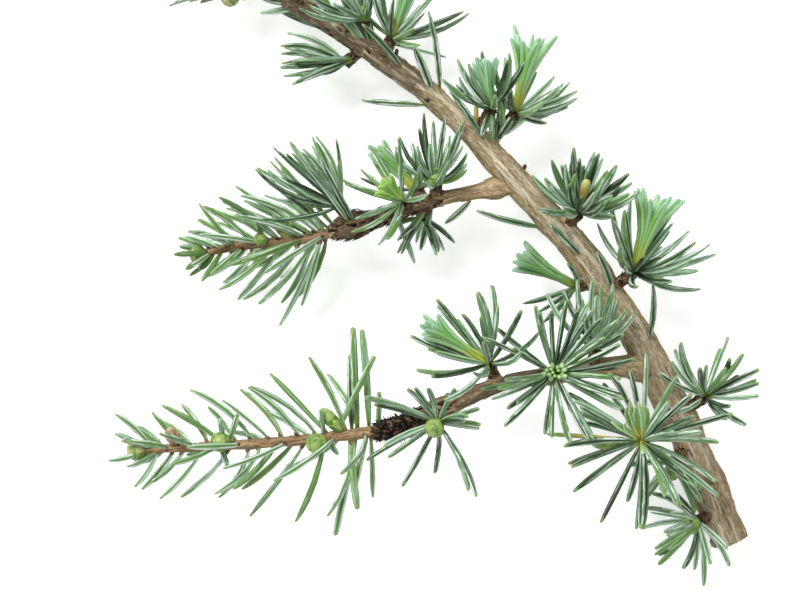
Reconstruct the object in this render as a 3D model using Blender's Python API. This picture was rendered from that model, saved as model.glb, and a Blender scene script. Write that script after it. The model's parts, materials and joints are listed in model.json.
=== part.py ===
"""A cut branch of atlas cedar, lying on the ground: a main stem from its flat cut to its leafy tip, two side
twigs that end in leafy shoots, and rosettes of needles on short spurs all along them.

Metres, +Z up. The routes are laid out seen from above, with X to the right and Y away from the viewer. At the
end the whole branch is moved so that its box stands centred on the origin, with the ground at Z = 0.
"""

import math
import random
from dataclasses import dataclass, field

import bmesh
import bpy
from mathutils import Matrix, Quaternion, Vector

# Driving sizes of the plant.
NEEDLE_WIDTH = 0.0014
NEEDLE_THICKNESS = 0.0010
NEEDLE_NECK_SHARE = 0.65  # the width at the root, as a share of the full width
NEEDLE_BROADEST = 0.62  # where along its length a needle is broadest
NEEDLE_BEND = 0.05  # how far a needle's middle stands off the straight line, as a share of its length
SPUR_RADIUS = 0.0014
SPUR_FOOT_FLARE = 1.15  # a spur's radius at its foot, as a share of its radius at its end
SPUR_BEND = (0.55, 0.4)  # where a spur bends: its share of the way, and how much of its end is straight
HEART_SINK = 0.35  # how far from a heart's middle its needles start, as a share of the heart's radius
TUFT_FOOT = 0.5  # how wide a tuft's foot is, as a share of its spur
BUD_SINK = 0.7  # how far a bud's middle stands off its twig, as a share of the bud's radius
LEAN_FALL = 7.0  # how soon the lean falls from that at a shoot's foot
WHORL_REACH = 0.1  # how much of a shoot's end the whorl takes
WHORL_LEAN = 36.0
WHORL_LENGTH = 0.75  # of the whorl's needles, as a share of those beside them
SHOOT_FLATNESS = 0.7  # how far a lying shoot's needles still stand up and down, as a share
GOLDEN_ANGLE = 137.5
CLEARANCE = 0.0003  # between any two pieces that meet
NEEDLE_GAP = 0.00025  # between needles of two masses that pass each other
ROOT_SHARE = 0.25  # of a needle's lower half, sunk in its spur or twig
GROUND = 0.0

# How finely the solids are faceted.
STEM_SIDES_RESOLUTION = 4
TWIG_SIDES_RESOLUTION = 2
SPUR_SIDES_RESOLUTION = 1
STEPS_PER_SPAN = 5
BUD_SEGMENTS = 6
BUD_RINGS = 5

# How a seeded rule strays.
TURN_STRAY = 16.0
TILT_STRAY = 10.0
LENGTH_STRAY = (0.74, 1.08)
BEND_STRAY = (0.2, 2.0)  # as a share of the needle's bend
TUFT_LENGTH_STRAY = (0.92, 1.05)
TRIES = 6  # at a place for a needle, before it is skipped

BARK = ("bark", (0.36, 0.27, 0.17), 0.85)
TWIG_BARK = ("twig_bark", (0.38, 0.23, 0.13), 0.8)
NEEDLES = ("needles", (0.20, 0.36, 0.27), 0.55)

# A route's points are (x, y, z, radius), and a smooth curve runs through them.
MAIN_STEM = (
    (0.0670, -0.0480, 0.0039, 0.0036),
    (0.0598, -0.0302, 0.0060, 0.0034),
    (0.0508, -0.0120, 0.0094, 0.0034),
    (0.0454, -0.0030, 0.0110, 0.0030),
    (0.0372, 0.0090, 0.0126, 0.0030),
    (0.0230, 0.0250, 0.0140, 0.0028),
    (0.0072, 0.0410, 0.0142, 0.0022),
    (-0.0116, 0.0550, 0.0136, 0.0024),
    (-0.0310, 0.0672, 0.0124, 0.0018),
    (-0.0500, 0.0840, 0.0115, 0.0013),
)
LOWER_TWIG = (
    (0.0512, -0.0126, 0.0095, 0.0023),
    (0.0410, -0.0122, 0.0126, 0.0019),
    (0.0300, -0.0140, 0.0150, 0.0017),
    (0.0200, -0.0156, 0.0160, 0.0015),
    (0.0090, -0.0200, 0.0160, 0.0021),
    (0.0014, -0.0238, 0.0156, 0.0023),
    (-0.0050, -0.0250, 0.0152, 0.0013),
)
UPPER_TWIG = (
    (0.0222, 0.0238, 0.0139, 0.0018),
    (0.0120, 0.0221, 0.0140, 0.0013),
    (0.0020, 0.0196, 0.0139, 0.0017),
    (-0.0054, 0.0171, 0.0137, 0.0019),
    (-0.0096, 0.0160, 0.0134, 0.0029),
    (-0.0142, 0.0144, 0.0130, 0.0012),
)
LIMBS = {"main_stem": MAIN_STEM, "lower_twig": LOWER_TWIG, "upper_twig": UPPER_TWIG}


@dataclass
class Tuft:
    """Young needles that stand close together in the middle of a rosette, like a brush."""

    bearing: float
    rise: float
    count: int
    length: float
    spread: float = 10.0


@dataclass
class Rosette:
    """A short spur with needles all round its end. Bearings turn from +X towards +Y, and rise is up from level."""

    name: str
    limb: str
    heart: tuple  # the end of the spur, where the needles spring from
    bearing: float
    rise: float
    count: int
    length: float
    spread: tuple = (30.0, 95.0)  # tilt off the spur's line, of the innermost and outermost needles
    heart_radius: float = 0.0016
    tuft: Tuft = None
    seed: int = 1


@dataclass
class LeafyShoot:
    """The last year's growth of a limb: a thin twig with single needles all round it and a bud at its end."""

    name: str
    route: tuple
    count: int
    length: tuple  # of the needles at its foot and at its end
    lean: tuple  # of a needle off the twig's line, at its foot and further on
    whorl: int  # short needles round the end bud
    bud_radius: float
    crowd: float = 1.0  # over 1, its needles stand closer at its foot
    side_buds: tuple = field(default=())  # (share of the length, bearing, rise, radius)
    seed: int = 1


LEAFY_SHOOTS = (
    LeafyShoot(
        "lower_leafy_shoot",
        (
            (-0.0053, -0.0250, 0.0152, 0.0013),
            (-0.0160, -0.0264, 0.0144, 0.0012),
            (-0.0320, -0.0278, 0.0134, 0.0011),
            (-0.0512, -0.0288, 0.0120, 0.0009),
        ),
        count=40,
        length=(0.0225, 0.0098),
        lean=(94.0, 48.0),
        whorl=8,
        bud_radius=0.0017,
        side_buds=((0.23, 235.0, 60.0, 0.0019), (0.66, 100.0, 65.0, 0.0018)),
        seed=4,
    ),
    LeafyShoot(
        "upper_leafy_shoot",
        (
            (-0.0145, 0.0143, 0.0130, 0.0012),
            (-0.0220, 0.0128, 0.0126, 0.0011),
            (-0.0320, 0.0120, 0.0119, 0.0010),
            (-0.0392, 0.0105, 0.0115, 0.0009),
        ),
        count=37,
        length=(0.0210, 0.0076),
        lean=(58.0, 42.0),
        whorl=6,
        crowd=1.35,
        bud_radius=0.0015,
        side_buds=((0.55, 70.0, 55.0, 0.0012),),
        seed=9,
    ),
    LeafyShoot(
        "leader_leafy_shoot",
        (
            (-0.0502, 0.0842, 0.0115, 0.0013),
            (-0.0620, 0.0976, 0.0112, 0.0011),
            (-0.0712, 0.1106, 0.0113, 0.0009),
        ),
        count=28,
        length=(0.0180, 0.0095),
        lean=(80.0, 46.0),
        whorl=6,
        bud_radius=0.0016,
        side_buds=((0.45, 20.0, 60.0, 0.0014),),
        seed=5,
    ),
)

ROSETTES = (
    Rosette(
        "lower_rosette_1", "lower_twig", (0.0074, -0.0230, 0.0200), 240.0, 58.0, 13, 0.0155,
        spread=(50.0, 100.0), seed=3,
    ),
    Rosette(
        "lower_rosette_2", "lower_twig", (0.0176, -0.0116, 0.0172), 128.0, 25.0, 16, 0.0155,
        spread=(15.0, 76.0), tuft=Tuft(147.0, 14.0, 7, 0.0168, 7.0), seed=2,
    ),
    Rosette(
        "lower_rosette_3", "lower_twig", (0.0304, -0.0134, 0.0190), 80.0, 82.0, 22, 0.0155,
        spread=(48.0, 92.0), seed=5,
    ),
    Rosette(
        "lower_rosette_4", "lower_twig", (0.0386, -0.0088, 0.0160), 88.0, 18.0, 15, 0.0138,
        spread=(8.0, 62.0), seed=7,
    ),
    Rosette(
        "stem_rosette_1", "main_stem", (0.0476, -0.0266, 0.0190), 205.0, 58.0, 26, 0.0178,
        spread=(40.0, 102.0), tuft=Tuft(100.0, 50.0, 7, 0.0085, 14.0), seed=6,
    ),
    Rosette(
        "stem_rosette_2", "main_stem", (0.0546, -0.0318, 0.0118), 262.0, 5.0, 8, 0.0095,
        spread=(25.0, 100.0), heart_radius=0.0013, seed=8,
    ),
    Rosette(
        "stem_rosette_3", "main_stem", (0.0610, -0.0182, 0.0124), 70.0, 22.0, 16, 0.0120,
        spread=(15.0, 95.0), seed=11,
    ),
    Rosette(
        "stem_rosette_4", "main_stem", (0.0602, -0.0436, 0.0078), 210.0, 10.0, 12, 0.0120,
        spread=(20.0, 95.0), seed=12,
    ),
    Rosette(
        "stem_rosette_5", "main_stem", (0.0464, 0.0066, 0.0150), 50.0, 18.0, 20, 0.0152,
        spread=(20.0, 84.0), tuft=Tuft(72.0, 14.0, 8, 0.0178, 13.0), seed=13,
    ),
    Rosette(
        "stem_rosette_6", "main_stem", (0.0354, 0.0184, 0.0168), 74.0, 38.0, 24, 0.0128,
        spread=(14.0, 68.0), seed=14,
    ),
    Rosette(
        "stem_rosette_7", "main_stem", (0.0356, 0.0038, 0.0094), 156.0, -6.0, 6, 0.0120,
        spread=(50.0, 95.0), tuft=Tuft(153.0, 0.0, 8, 0.0145, 9.0), seed=15,
    ),
    Rosette(
        "stem_rosette_8", "main_stem", (0.0230, 0.0382, 0.0146), 60.0, 8.0, 14, 0.0120,
        spread=(20.0, 82.0), tuft=Tuft(77.0, 8.0, 8, 0.0168, 12.0), seed=16,
    ),
    Rosette(
        "stem_rosette_9", "main_stem", (0.0180, 0.0388, 0.0178), 98.0, 30.0, 13, 0.0115,
        spread=(12.0, 64.0), tuft=Tuft(99.0, 18.0, 6, 0.0110, 10.0), seed=17,
    ),
    Rosette(
        "stem_rosette_10", "main_stem", (-0.0016, 0.0530, 0.0150), 64.0, 10.0, 15, 0.0158,
        spread=(20.0, 84.0), tuft=Tuft(72.0, 10.0, 8, 0.0170, 10.0), seed=38,
    ),
    Rosette(
        "stem_rosette_11", "main_stem", (-0.0070, 0.0566, 0.0168), 112.0, 28.0, 16, 0.0150,
        spread=(10.0, 60.0), seed=19,
    ),
    Rosette(
        "stem_rosette_12", "main_stem", (-0.0108, 0.0488, 0.0102), 184.0, -4.0, 12, 0.0155,
        spread=(6.0, 40.0), seed=20,
    ),
    Rosette(
        "upper_rosette_1", "upper_twig", (0.0070, 0.0240, 0.0164), 85.0, 30.0, 13, 0.0130,
        spread=(10.0, 66.0), seed=21,
    ),
    Rosette(
        "upper_rosette_2", "upper_twig", (0.0034, 0.0230, 0.0134), 118.0, 0.0, 7, 0.0115,
        spread=(25.0, 80.0), tuft=Tuft(134.0, 4.0, 6, 0.0130, 6.0), seed=22,
    ),
    Rosette(
        "upper_rosette_3", "upper_twig", (0.0004, 0.0206, 0.0170), 140.0, 40.0, 14, 0.0125,
        spread=(30.0, 90.0), tuft=Tuft(142.0, 30.0, 5, 0.0065, 14.0), seed=23,
    ),
    Rosette(
        "upper_rosette_4", "upper_twig", (-0.0118, 0.0196, 0.0158), 134.0, 20.0, 15, 0.0180,
        spread=(4.0, 46.0), seed=24,
    ),
    Rosette(
        "upper_rosette_5", "upper_twig", (0.0046, 0.0176, 0.0118), 262.0, -12.0, 7, 0.0095,
        spread=(20.0, 70.0), heart_radius=0.0013, seed=25,
    ),
    Rosette(
        "leader_rosette_1", "main_stem", (-0.0240, 0.0672, 0.0150), 62.0, 30.0, 14, 0.0140,
        spread=(25.0, 98.0), tuft=Tuft(64.0, 25.0, 6, 0.0140, 9.0), seed=26,
    ),
    Rosette(
        "leader_rosette_2", "main_stem", (-0.0330, 0.0626, 0.0128), 228.0, 8.0, 16, 0.0135,
        spread=(25.0, 98.0), seed=27,
    ),
    Rosette(
        "leader_rosette_3", "main_stem", (-0.0386, 0.0774, 0.0158), 60.0, 60.0, 16, 0.0130,
        spread=(40.0, 98.0), seed=28,
    ),
    Rosette(
        "leader_rosette_4", "main_stem", (-0.0486, 0.0778, 0.0118), 222.0, 4.0, 14, 0.0130,
        spread=(25.0, 98.0), tuft=Tuft(205.0, 5.0, 6, 0.0130, 9.0), seed=29,
    ),
)


@dataclass
class LoneNeedle:
    """A single needle that the bark has kept. Its seat turns from the bark's flank, 0, to its top, 90."""

    limb: str
    place: tuple  # x and y near its root
    bearing: float
    rise: float
    length: float
    seat: float


LONE_NEEDLES = (
    LoneNeedle("main_stem", (0.0082, 0.0432), 102.0, 8.0, 0.0150, 20.0),
    LoneNeedle("main_stem", (0.0048, 0.0392), 172.0, 4.0, 0.0125, 10.0),
    LoneNeedle("main_stem", (0.0000, 0.0466), 136.0, 20.0, 0.0120, 75.0),
    LoneNeedle("main_stem", (0.0172, 0.0330), 128.0, 18.0, 0.0125, 75.0),
    LoneNeedle("main_stem", (0.0280, 0.0150), 160.0, 2.0, 0.0130, 5.0),
    LoneNeedle("main_stem", (0.0352, 0.0092), 135.0, 22.0, 0.0100, 80.0),
    LoneNeedle("main_stem", (0.0434, 0.0026), 116.0, 20.0, 0.0100, 80.0),
    LoneNeedle("main_stem", (0.0504, -0.0070), 92.0, 14.0, 0.0115, 60.0),
    LoneNeedle("upper_twig", (0.0140, 0.0212), 216.0, -4.0, 0.0065, 0.0),
)


def clear_scene():
    for obj in list(bpy.data.objects):
        bpy.data.objects.remove(obj)


def new_collection(name):
    collection = bpy.data.collections.new(name)
    bpy.context.scene.collection.children.link(collection)
    return collection


def material(name, colour, roughness):
    made = bpy.data.materials.get(name)
    if made is None:
        made = bpy.data.materials.new(name)
        made.use_nodes = True
        shader = made.node_tree.nodes["Principled BSDF"]
        shader.inputs["Base Color"].default_value = (*colour, 1.0)
        shader.inputs["Roughness"].default_value = roughness
        shader.inputs["Metallic"].default_value = 0.0
    return made


def heading(bearing, rise):
    """The unit vector at a bearing from +X towards +Y and a rise above level, both in degrees."""
    across, up = math.radians(bearing), math.radians(rise)
    return Vector((math.cos(up) * math.cos(across), math.cos(up) * math.sin(across), math.sin(up)))


def smooth_route(route):
    """Places along a smooth curve through the route's points, each as (centre, radius)."""
    last = len(route) - 1
    places = []
    for i in range(last):
        before, start, end, after = (Vector(route[min(max(k, 0), last)]) for k in (i - 1, i, i + 1, i + 2))
        for step in range(STEPS_PER_SPAN):
            t = step / STEPS_PER_SPAN
            place = 0.5 * (
                2 * start
                + (end - before) * t
                + (2 * before - 5 * start + 4 * end - after) * t * t
                + (3 * start - before - 3 * end + after) * t**3
            )
            places.append((place.to_3d(), place[3]))
    places.append((Vector(route[last][:3]), route[last][3]))
    return places


def place_along(places, share):
    """The centre, the direction and the radius at a share of the way along a limb."""
    lengths = [(b[0] - a[0]).length for a, b in zip(places, places[1:])]
    left = share * sum(lengths)
    for (a, b), length in zip(zip(places, places[1:]), lengths):
        if left <= length:
            break
        left -= length
    else:
        left = length
    t = left / length
    return a[0].lerp(b[0], t), (b[0] - a[0]).normalized(), a[1] + (b[1] - a[1]) * t


def nearest_place(places, point):
    """The centre, the direction and the radius of the limb where it passes nearest to a point."""
    found = None
    for a, b in zip(places, places[1:]):
        span = b[0] - a[0]
        t = min(max((point - a[0]).dot(span) / span.length_squared, 0.0), 1.0)
        centre = a[0] + span * t
        distance = (point - centre).length
        if found is None or distance < found[0]:
            found = (distance, centre, span.normalized(), a[1] + (b[1] - a[1]) * t)
    return found[1:]


def segment_gap(a, b, c, d):
    """The distance between the segments a-b and c-d."""
    u, v, w = b - a, d - c, a - c
    uu, uv, vv, uw, vw = u.dot(u), u.dot(v), v.dot(v), u.dot(w), v.dot(w)
    across = uu * vv - uv * uv
    s = min(max((uv * vw - vv * uw) / across, 0.0), 1.0) if across > 1e-18 else 0.0
    t = min(max((uv * s + vw) / vv, 0.0), 1.0)
    s = min(max((uv * t - uw) / uu, 0.0), 1.0)
    return (w + u * s - v * t).length


class Space:
    """What is already there, as round-ended rods, so that a new needle can keep clear of it."""

    def __init__(self):
        self.rods = []

    def add(self, owner, a, b, radius):
        self.rods.append((owner, a, b, radius, (a + b) / 2, (b - a).length / 2))

    def add_limb(self, owner, places):
        for a, b in zip(places, places[1:]):
            self.add(owner, a[0], b[0], max(a[1], b[1]))

    def add_needle(self, owner, needle):
        self.add(owner, needle.root, needle.middle, NEEDLE_WIDTH / 2)
        self.add(owner, needle.middle, needle.tip, NEEDLE_WIDTH / 2)

    def is_clear(self, owner, needle):
        """Whether a needle, but for its sunken root, keeps clear of every other piece."""
        radius = NEEDLE_WIDTH / 2
        points = (needle.root.lerp(needle.middle, ROOT_SHARE), needle.middle, needle.tip)
        for a, b in zip(points, points[1:]):
            middle, half = (a + b) / 2, (b - a).length / 2
            for other, c, d, other_radius, other_middle, other_half in self.rods:
                if other == owner:
                    continue
                least = radius + other_radius + NEEDLE_GAP
                if (middle - other_middle).length > half + other_half + least:
                    continue
                if segment_gap(a, b, c, d) < least:
                    return False
        return True


@dataclass
class Needle:
    root: Vector
    middle: Vector
    tip: Vector


def bent_needle(root, along, length, bend_towards, bend=1.0):
    """A needle from its root, with its middle a little off the straight line. One that would reach the ground
    lies along it."""
    tip = root + along * length
    if tip.z < GROUND:
        level = Vector((along.x, along.y, 0.0))
        reach = math.sqrt(max(length**2 - (root.z - GROUND) ** 2, 0.0))
        tip = Vector((root.x, root.y, GROUND)) + level.normalized() * reach
    middle = root.lerp(tip, NEEDLE_BROADEST) - bend_towards * (bend * NEEDLE_BEND * length)
    middle.z = max(middle.z, GROUND + NEEDLE_WIDTH / 2)
    return Needle(root, middle, tip)


def rosette_needles(rosette, space):
    """Needles all round a spur's end, each a golden angle on from the last, the outer ones tilted furthest."""
    chance = random.Random(rosette.seed)
    axis = heading(rosette.bearing, rosette.rise)
    side = axis.orthogonal().normalized()
    heart = Vector(rosette.heart)
    needles = []
    for k in range(rosette.count):
        share = (k + 0.5) / rosette.count
        for _ in range(TRIES):
            turn = k * GOLDEN_ANGLE + chance.uniform(-TURN_STRAY, TURN_STRAY)
            tilt = rosette.spread[0] + (rosette.spread[1] - rosette.spread[0]) * share
            tilt += chance.uniform(-TILT_STRAY, TILT_STRAY)
            length = rosette.length * chance.uniform(*LENGTH_STRAY)
            out = Quaternion(axis, math.radians(turn)) @ side
            along = axis * math.cos(math.radians(tilt)) + out * math.sin(math.radians(tilt))
            root = heart + along * (HEART_SINK * rosette.heart_radius)
            bend = chance.uniform(*BEND_STRAY)
            needle = bent_needle(root, along, length, (axis - along * axis.dot(along)).normalized(), bend)
            if space.is_clear(rosette.name, needle):
                needles.append(needle)
                break
    if rosette.tuft:
        needles += tuft_needles(rosette, chance, space)
    for needle in needles:
        space.add_needle(rosette.name, needle)
    return needles


def tuft_needles(rosette, chance, space):
    """The brush of young needles in a rosette's heart."""
    tuft = rosette.tuft
    axis = heading(tuft.bearing, tuft.rise)
    side = axis.orthogonal().normalized()
    heart = Vector(rosette.heart)
    needles = []
    for k in range(tuft.count):
        share = math.sqrt((k + 0.5) / tuft.count)
        tilt = tuft.spread * share
        out = Quaternion(axis, math.radians(k * GOLDEN_ANGLE)) @ side
        along = axis * math.cos(math.radians(tilt)) + out * math.sin(math.radians(tilt))
        length = tuft.length * chance.uniform(*TUFT_LENGTH_STRAY)
        root = heart + out * (TUFT_FOOT * SPUR_RADIUS * share)
        needle = bent_needle(root, along, length, out)
        if space.is_clear(rosette.name, needle):
            needles.append(needle)
    return needles


def shoot_stations(shoot):
    """Where on a leafy shoot each needle stands, how far it leans, and how long it is: those at the shoot's foot
    stand squarest, and a whorl of short ones closes round its end bud."""
    stations = []
    for k in range(shoot.count):
        share = ((k + 0.5) / shoot.count) ** shoot.crowd
        lean = shoot.lean[1] + (shoot.lean[0] - shoot.lean[1]) * (1 - share) ** LEAN_FALL
        stations.append((share, lean, shoot.length[0] + (shoot.length[1] - shoot.length[0]) * share))
    for k in range(shoot.whorl):
        share = 1 - WHORL_REACH * (k + 0.5) / shoot.whorl
        stations.append((share, WHORL_LEAN, WHORL_LENGTH * shoot.length[1]))
    return stations


def shoot_needles(shoot, places, space):
    """Single needles all round a leafy shoot, each a golden angle on from the last."""
    chance = random.Random(shoot.seed)
    needles = []
    for k, (share, lean, length) in enumerate(shoot_stations(shoot)):
        centre, line, _ = place_along(places, share)
        side = line.orthogonal().normalized()
        for _ in range(TRIES):
            turn = k * GOLDEN_ANGLE + chance.uniform(-TURN_STRAY, TURN_STRAY)
            tilt = math.radians(lean + chance.uniform(-TILT_STRAY, TILT_STRAY))
            reach = length * chance.uniform(*LENGTH_STRAY)
            out = Quaternion(line, math.radians(turn)) @ side
            out.z *= SHOOT_FLATNESS
            out = (out - line * out.dot(line)).normalized()
            along = line * math.cos(tilt) + out * math.sin(tilt)
            bend = chance.uniform(*BEND_STRAY)
            needle = bent_needle(centre, along, reach, (line - along * line.dot(along)).normalized(), bend)
            if space.is_clear(shoot.name, needle):
                needles.append(needle)
                break
    for needle in needles:
        space.add_needle(shoot.name, needle)
    return needles


def tube(name, places, resolution, collection):
    """A round limb as a closed mesh, made from a curve with a radius at each point."""
    curve = bpy.data.curves.new(name, "CURVE")
    curve.dimensions = "3D"
    curve.bevel_depth = 1.0
    curve.bevel_resolution = resolution
    curve.use_fill_caps = True
    spline = curve.splines.new("POLY")
    spline.points.add(len(places) - 1)
    for point, (centre, radius) in zip(spline.points, places):
        point.co = (*centre, 1.0)
        point.radius = radius
    guide = bpy.data.objects.new(name + "_guide", curve)
    collection.objects.link(guide)
    graph = bpy.context.evaluated_depsgraph_get()
    mesh = bpy.data.meshes.new_from_object(guide.evaluated_get(graph))
    shape = bmesh.new()
    shape.from_mesh(mesh)
    bmesh.ops.remove_doubles(shape, verts=shape.verts, dist=1e-6)
    bmesh.ops.recalc_face_normals(shape, faces=shape.faces)
    shape.to_mesh(mesh)
    shape.free()
    made = bpy.data.objects.new(name, mesh)
    made.matrix_world = guide.matrix_world
    collection.objects.link(made)
    bpy.data.objects.remove(guide)
    bpy.data.curves.remove(curve)
    return made


def needle_object(name, needle, collection):
    """A needle as a three-sided blade: a cone from its neck to where it is broadest, then drawn to a point."""
    along = needle.middle - needle.root
    turned = along.to_track_quat("Z", "X").to_matrix().to_4x4()
    flattened = Matrix.Diagonal((1.0, NEEDLE_THICKNESS / NEEDLE_WIDTH, 1.0, 1.0))
    shape = bmesh.new()
    bmesh.ops.create_cone(
        shape,
        cap_ends=True,
        segments=3,
        radius1=NEEDLE_NECK_SHARE * NEEDLE_WIDTH / 2,
        radius2=NEEDLE_WIDTH / 2,
        depth=along.length,
        matrix=Matrix.Translation((needle.root + needle.middle) / 2) @ turned @ flattened,
    )
    end = max(shape.faces, key=lambda face: (face.calc_center_median() - needle.root).length)
    point = bmesh.ops.poke(shape, faces=[end])["verts"][0]
    point.co = needle.tip
    mesh = bpy.data.meshes.new(name)
    shape.to_mesh(mesh)
    shape.free()
    made = bpy.data.objects.new(name, mesh)
    collection.objects.link(made)
    return made


def bud_object(name, centre, radius, collection):
    """A round bud, or the knob of scales in a rosette's heart."""
    shape = bmesh.new()
    bmesh.ops.create_uvsphere(
        shape,
        u_segments=BUD_SEGMENTS,
        v_segments=BUD_RINGS,
        radius=radius,
        matrix=Matrix.Translation(centre),
    )
    mesh = bpy.data.meshes.new(name)
    shape.to_mesh(mesh)
    shape.free()
    made = bpy.data.objects.new(name, mesh)
    collection.objects.link(made)
    return made


def fuse(obj, collection):
    """Joins a collection's objects to obj in one Boolean union, and removes them."""
    union = obj.modifiers.new("fuse", "BOOLEAN")
    union.operation = "UNION"
    union.operand_type = "COLLECTION"
    union.collection = collection
    union.solver = "MANIFOLD"
    graph = bpy.context.evaluated_depsgraph_get()
    joined = bpy.data.meshes.new_from_object(obj.evaluated_get(graph))
    obj.modifiers.remove(union)
    obj.data = joined
    for piece in list(collection.objects):
        bpy.data.objects.remove(piece)
    bpy.data.collections.remove(collection)
    drop_scraps(obj.data)


def drop_scraps(mesh):
    """Keeps the largest of a mesh's loose parts."""
    shape = bmesh.new()
    shape.from_mesh(mesh)
    left = set(shape.verts)
    parts = []
    while left:
        part, edge = set(), [left.pop()]
        while edge:
            vertex = edge.pop()
            part.add(vertex)
            for link in vertex.link_edges:
                other = link.other_vert(vertex)
                if other in left:
                    left.remove(other)
                    edge.append(other)
        parts.append(part)
    parts.sort(key=len)
    for part in parts[:-1]:
        bmesh.ops.delete(shape, geom=list(part), context="VERTS")
    shape.to_mesh(mesh)
    shape.free()


def cut_clear(obj, cutter):
    """Cuts obj back from a limb, so that it meets the limb's bark with an even gap."""
    cut = obj.modifiers.new("cut_clear", "BOOLEAN")
    cut.operation = "DIFFERENCE"
    cut.solver = "EXACT"
    cut.object = cutter


def limb_cutter(name, places, resolution, cutters):
    """A limb with the clearance round it, and longer at its foot, for cutting what meets the limb."""
    grown = [(centre, radius + CLEARANCE) for centre, radius in places]
    ends = [(grown[0][0] + (grown[0][0] - grown[1][0]), grown[0][1]), *grown]
    cutter = tube(name + "_cutter", ends, resolution, cutters)
    cutter.hide_render = True
    cutter.display_type = "WIRE"
    return cutter


def finish(obj, look):
    obj.data.materials.clear()
    obj.data.materials.append(material(*look))


def spur_places(rosette, places):
    """A spur's line, from inside its limb to its heart, ending along the rosette's own direction."""
    heart = Vector(rosette.heart)
    foot, _, _ = nearest_place(places, heart)
    straight = heading(rosette.bearing, rosette.rise) * ((heart - foot).length * SPUR_BEND[1])
    bend = foot.lerp(heart - straight, SPUR_BEND[0])
    return [(foot, SPUR_RADIUS * SPUR_FOOT_FLARE), (bend, SPUR_RADIUS), (heart, SPUR_RADIUS)]


def build_limbs(limbs, branch, cutters):
    """Makes the stem and twigs, the twigs cut clear of the stem, and returns a cutter for each."""
    made = {}
    for name, places in limbs.items():
        is_main = name == "main_stem"
        resolution = STEM_SIDES_RESOLUTION if is_main else TWIG_SIDES_RESOLUTION
        limb = tube(name, places, resolution, branch)
        finish(limb, BARK if is_main else TWIG_BARK)
        made[name] = limb_cutter(name, places, resolution, cutters)
        if not is_main:
            cut_clear(limb, made["main_stem"])
    return made


def build_rosette(rosette, places, needles, cutter, branch):
    """One rosette with its spur, as one solid that meets its limb's bark."""
    mass = tube(rosette.name, spur_places(rosette, places), SPUR_SIDES_RESOLUTION, branch)
    pieces = bpy.data.collections.new(rosette.name + "_pieces")
    bud_object(rosette.name + "_heart", Vector(rosette.heart), rosette.heart_radius, pieces)
    for i, needle in enumerate(needles):
        needle_object(f"{rosette.name}_needle_{i}", needle, pieces)
    fuse(mass, pieces)
    cut_clear(mass, cutter)
    finish(mass, NEEDLES)


def build_leafy_shoot(shoot, places, needles, branch):
    """One leafy shoot with its twig and buds, as one solid that goes on from its limb's end."""
    mass = tube(shoot.name, places, SPUR_SIDES_RESOLUTION, branch)
    pieces = bpy.data.collections.new(shoot.name + "_pieces")
    end, line, _ = place_along(places, 1.0)
    bud_object(shoot.name + "_bud", end + line * (BUD_SINK * shoot.bud_radius), shoot.bud_radius, pieces)
    for i, (share, bearing, rise, bud_radius) in enumerate(shoot.side_buds):
        centre, _, radius = place_along(places, share)
        out = heading(bearing, rise) * (BUD_SINK * (radius + bud_radius))
        bud_object(f"{shoot.name}_side_bud_{i}", centre + out, bud_radius, pieces)
    for i, needle in enumerate(needles):
        needle_object(f"{shoot.name}_needle_{i}", needle, pieces)
    fuse(mass, pieces)
    finish(mass, NEEDLES)


def place_lone_needles(limbs, space):
    """Puts each lone needle on the bark, just clear of it."""
    needles = []
    for i, lone in enumerate(LONE_NEEDLES):
        places = limbs[lone.limb]
        beside = Vector(lone.place)
        height = min(places, key=lambda place: (place[0].xy - beside).length)[0].z
        centre, line, radius = nearest_place(places, Vector((*lone.place, height)))
        along = heading(lone.bearing, lone.rise)
        flank = Vector((-line.y, line.x, 0.0)).normalized()
        if flank.dot(along) < 0:
            flank.negate()
        turn = math.radians(lone.seat)
        out = flank * math.cos(turn) + Vector((0.0, 0.0, 1.0)) * math.sin(turn)
        root = centre + out * (radius + CLEARANCE + NEEDLE_WIDTH / 2)
        needle = bent_needle(root, along, lone.length, Vector((0.0, 0.0, -1.0)))
        needles.append(needle)
        space.add_needle(f"lone_needle_{i + 1}", needle)
    return needles


def centre_on_origin(branch):
    """Moves the branch so that its box stands centred on the origin."""
    graph = bpy.context.evaluated_depsgraph_get()
    corners = []
    for obj in branch.objects:
        shown = obj.evaluated_get(graph)
        mesh = shown.to_mesh()
        corners += [obj.matrix_world @ vertex.co for vertex in mesh.vertices]
        shown.to_mesh_clear()
    low = Vector(min(point[axis] for point in corners) for axis in range(3))
    high = Vector(max(point[axis] for point in corners) for axis in range(3))
    shift = -Vector(((low.x + high.x) / 2, (low.y + high.y) / 2, low.z))
    for obj in bpy.data.objects:
        obj.location += shift


def main():
    clear_scene()
    branch = new_collection("atlas_cedar_branch")
    cutters = new_collection("cutters")
    limbs = {name: smooth_route(route) for name, route in LIMBS.items()}
    shoots = {shoot.name: smooth_route(shoot.route) for shoot in LEAFY_SHOOTS}
    space = Space()
    for name, places in {**limbs, **shoots}.items():
        space.add_limb(name, places)
    for rosette in ROSETTES:
        line = spur_places(rosette, limbs[rosette.limb])
        space.add(rosette.name, line[1][0], line[2][0], rosette.heart_radius)
    singles = place_lone_needles(limbs, space)
    limb_cutters = build_limbs(limbs, branch, cutters)
    for shoot in LEAFY_SHOOTS:
        needles = shoot_needles(shoot, shoots[shoot.name], space)
        build_leafy_shoot(shoot, shoots[shoot.name], needles, branch)
    for rosette in ROSETTES:
        needles = rosette_needles(rosette, space)
        build_rosette(rosette, limbs[rosette.limb], needles, limb_cutters[rosette.limb], branch)
    for i, needle in enumerate(singles):
        finish(needle_object(f"lone_needle_{i + 1}", needle, branch), NEEDLES)
    centre_on_origin(branch)


main()
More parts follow.
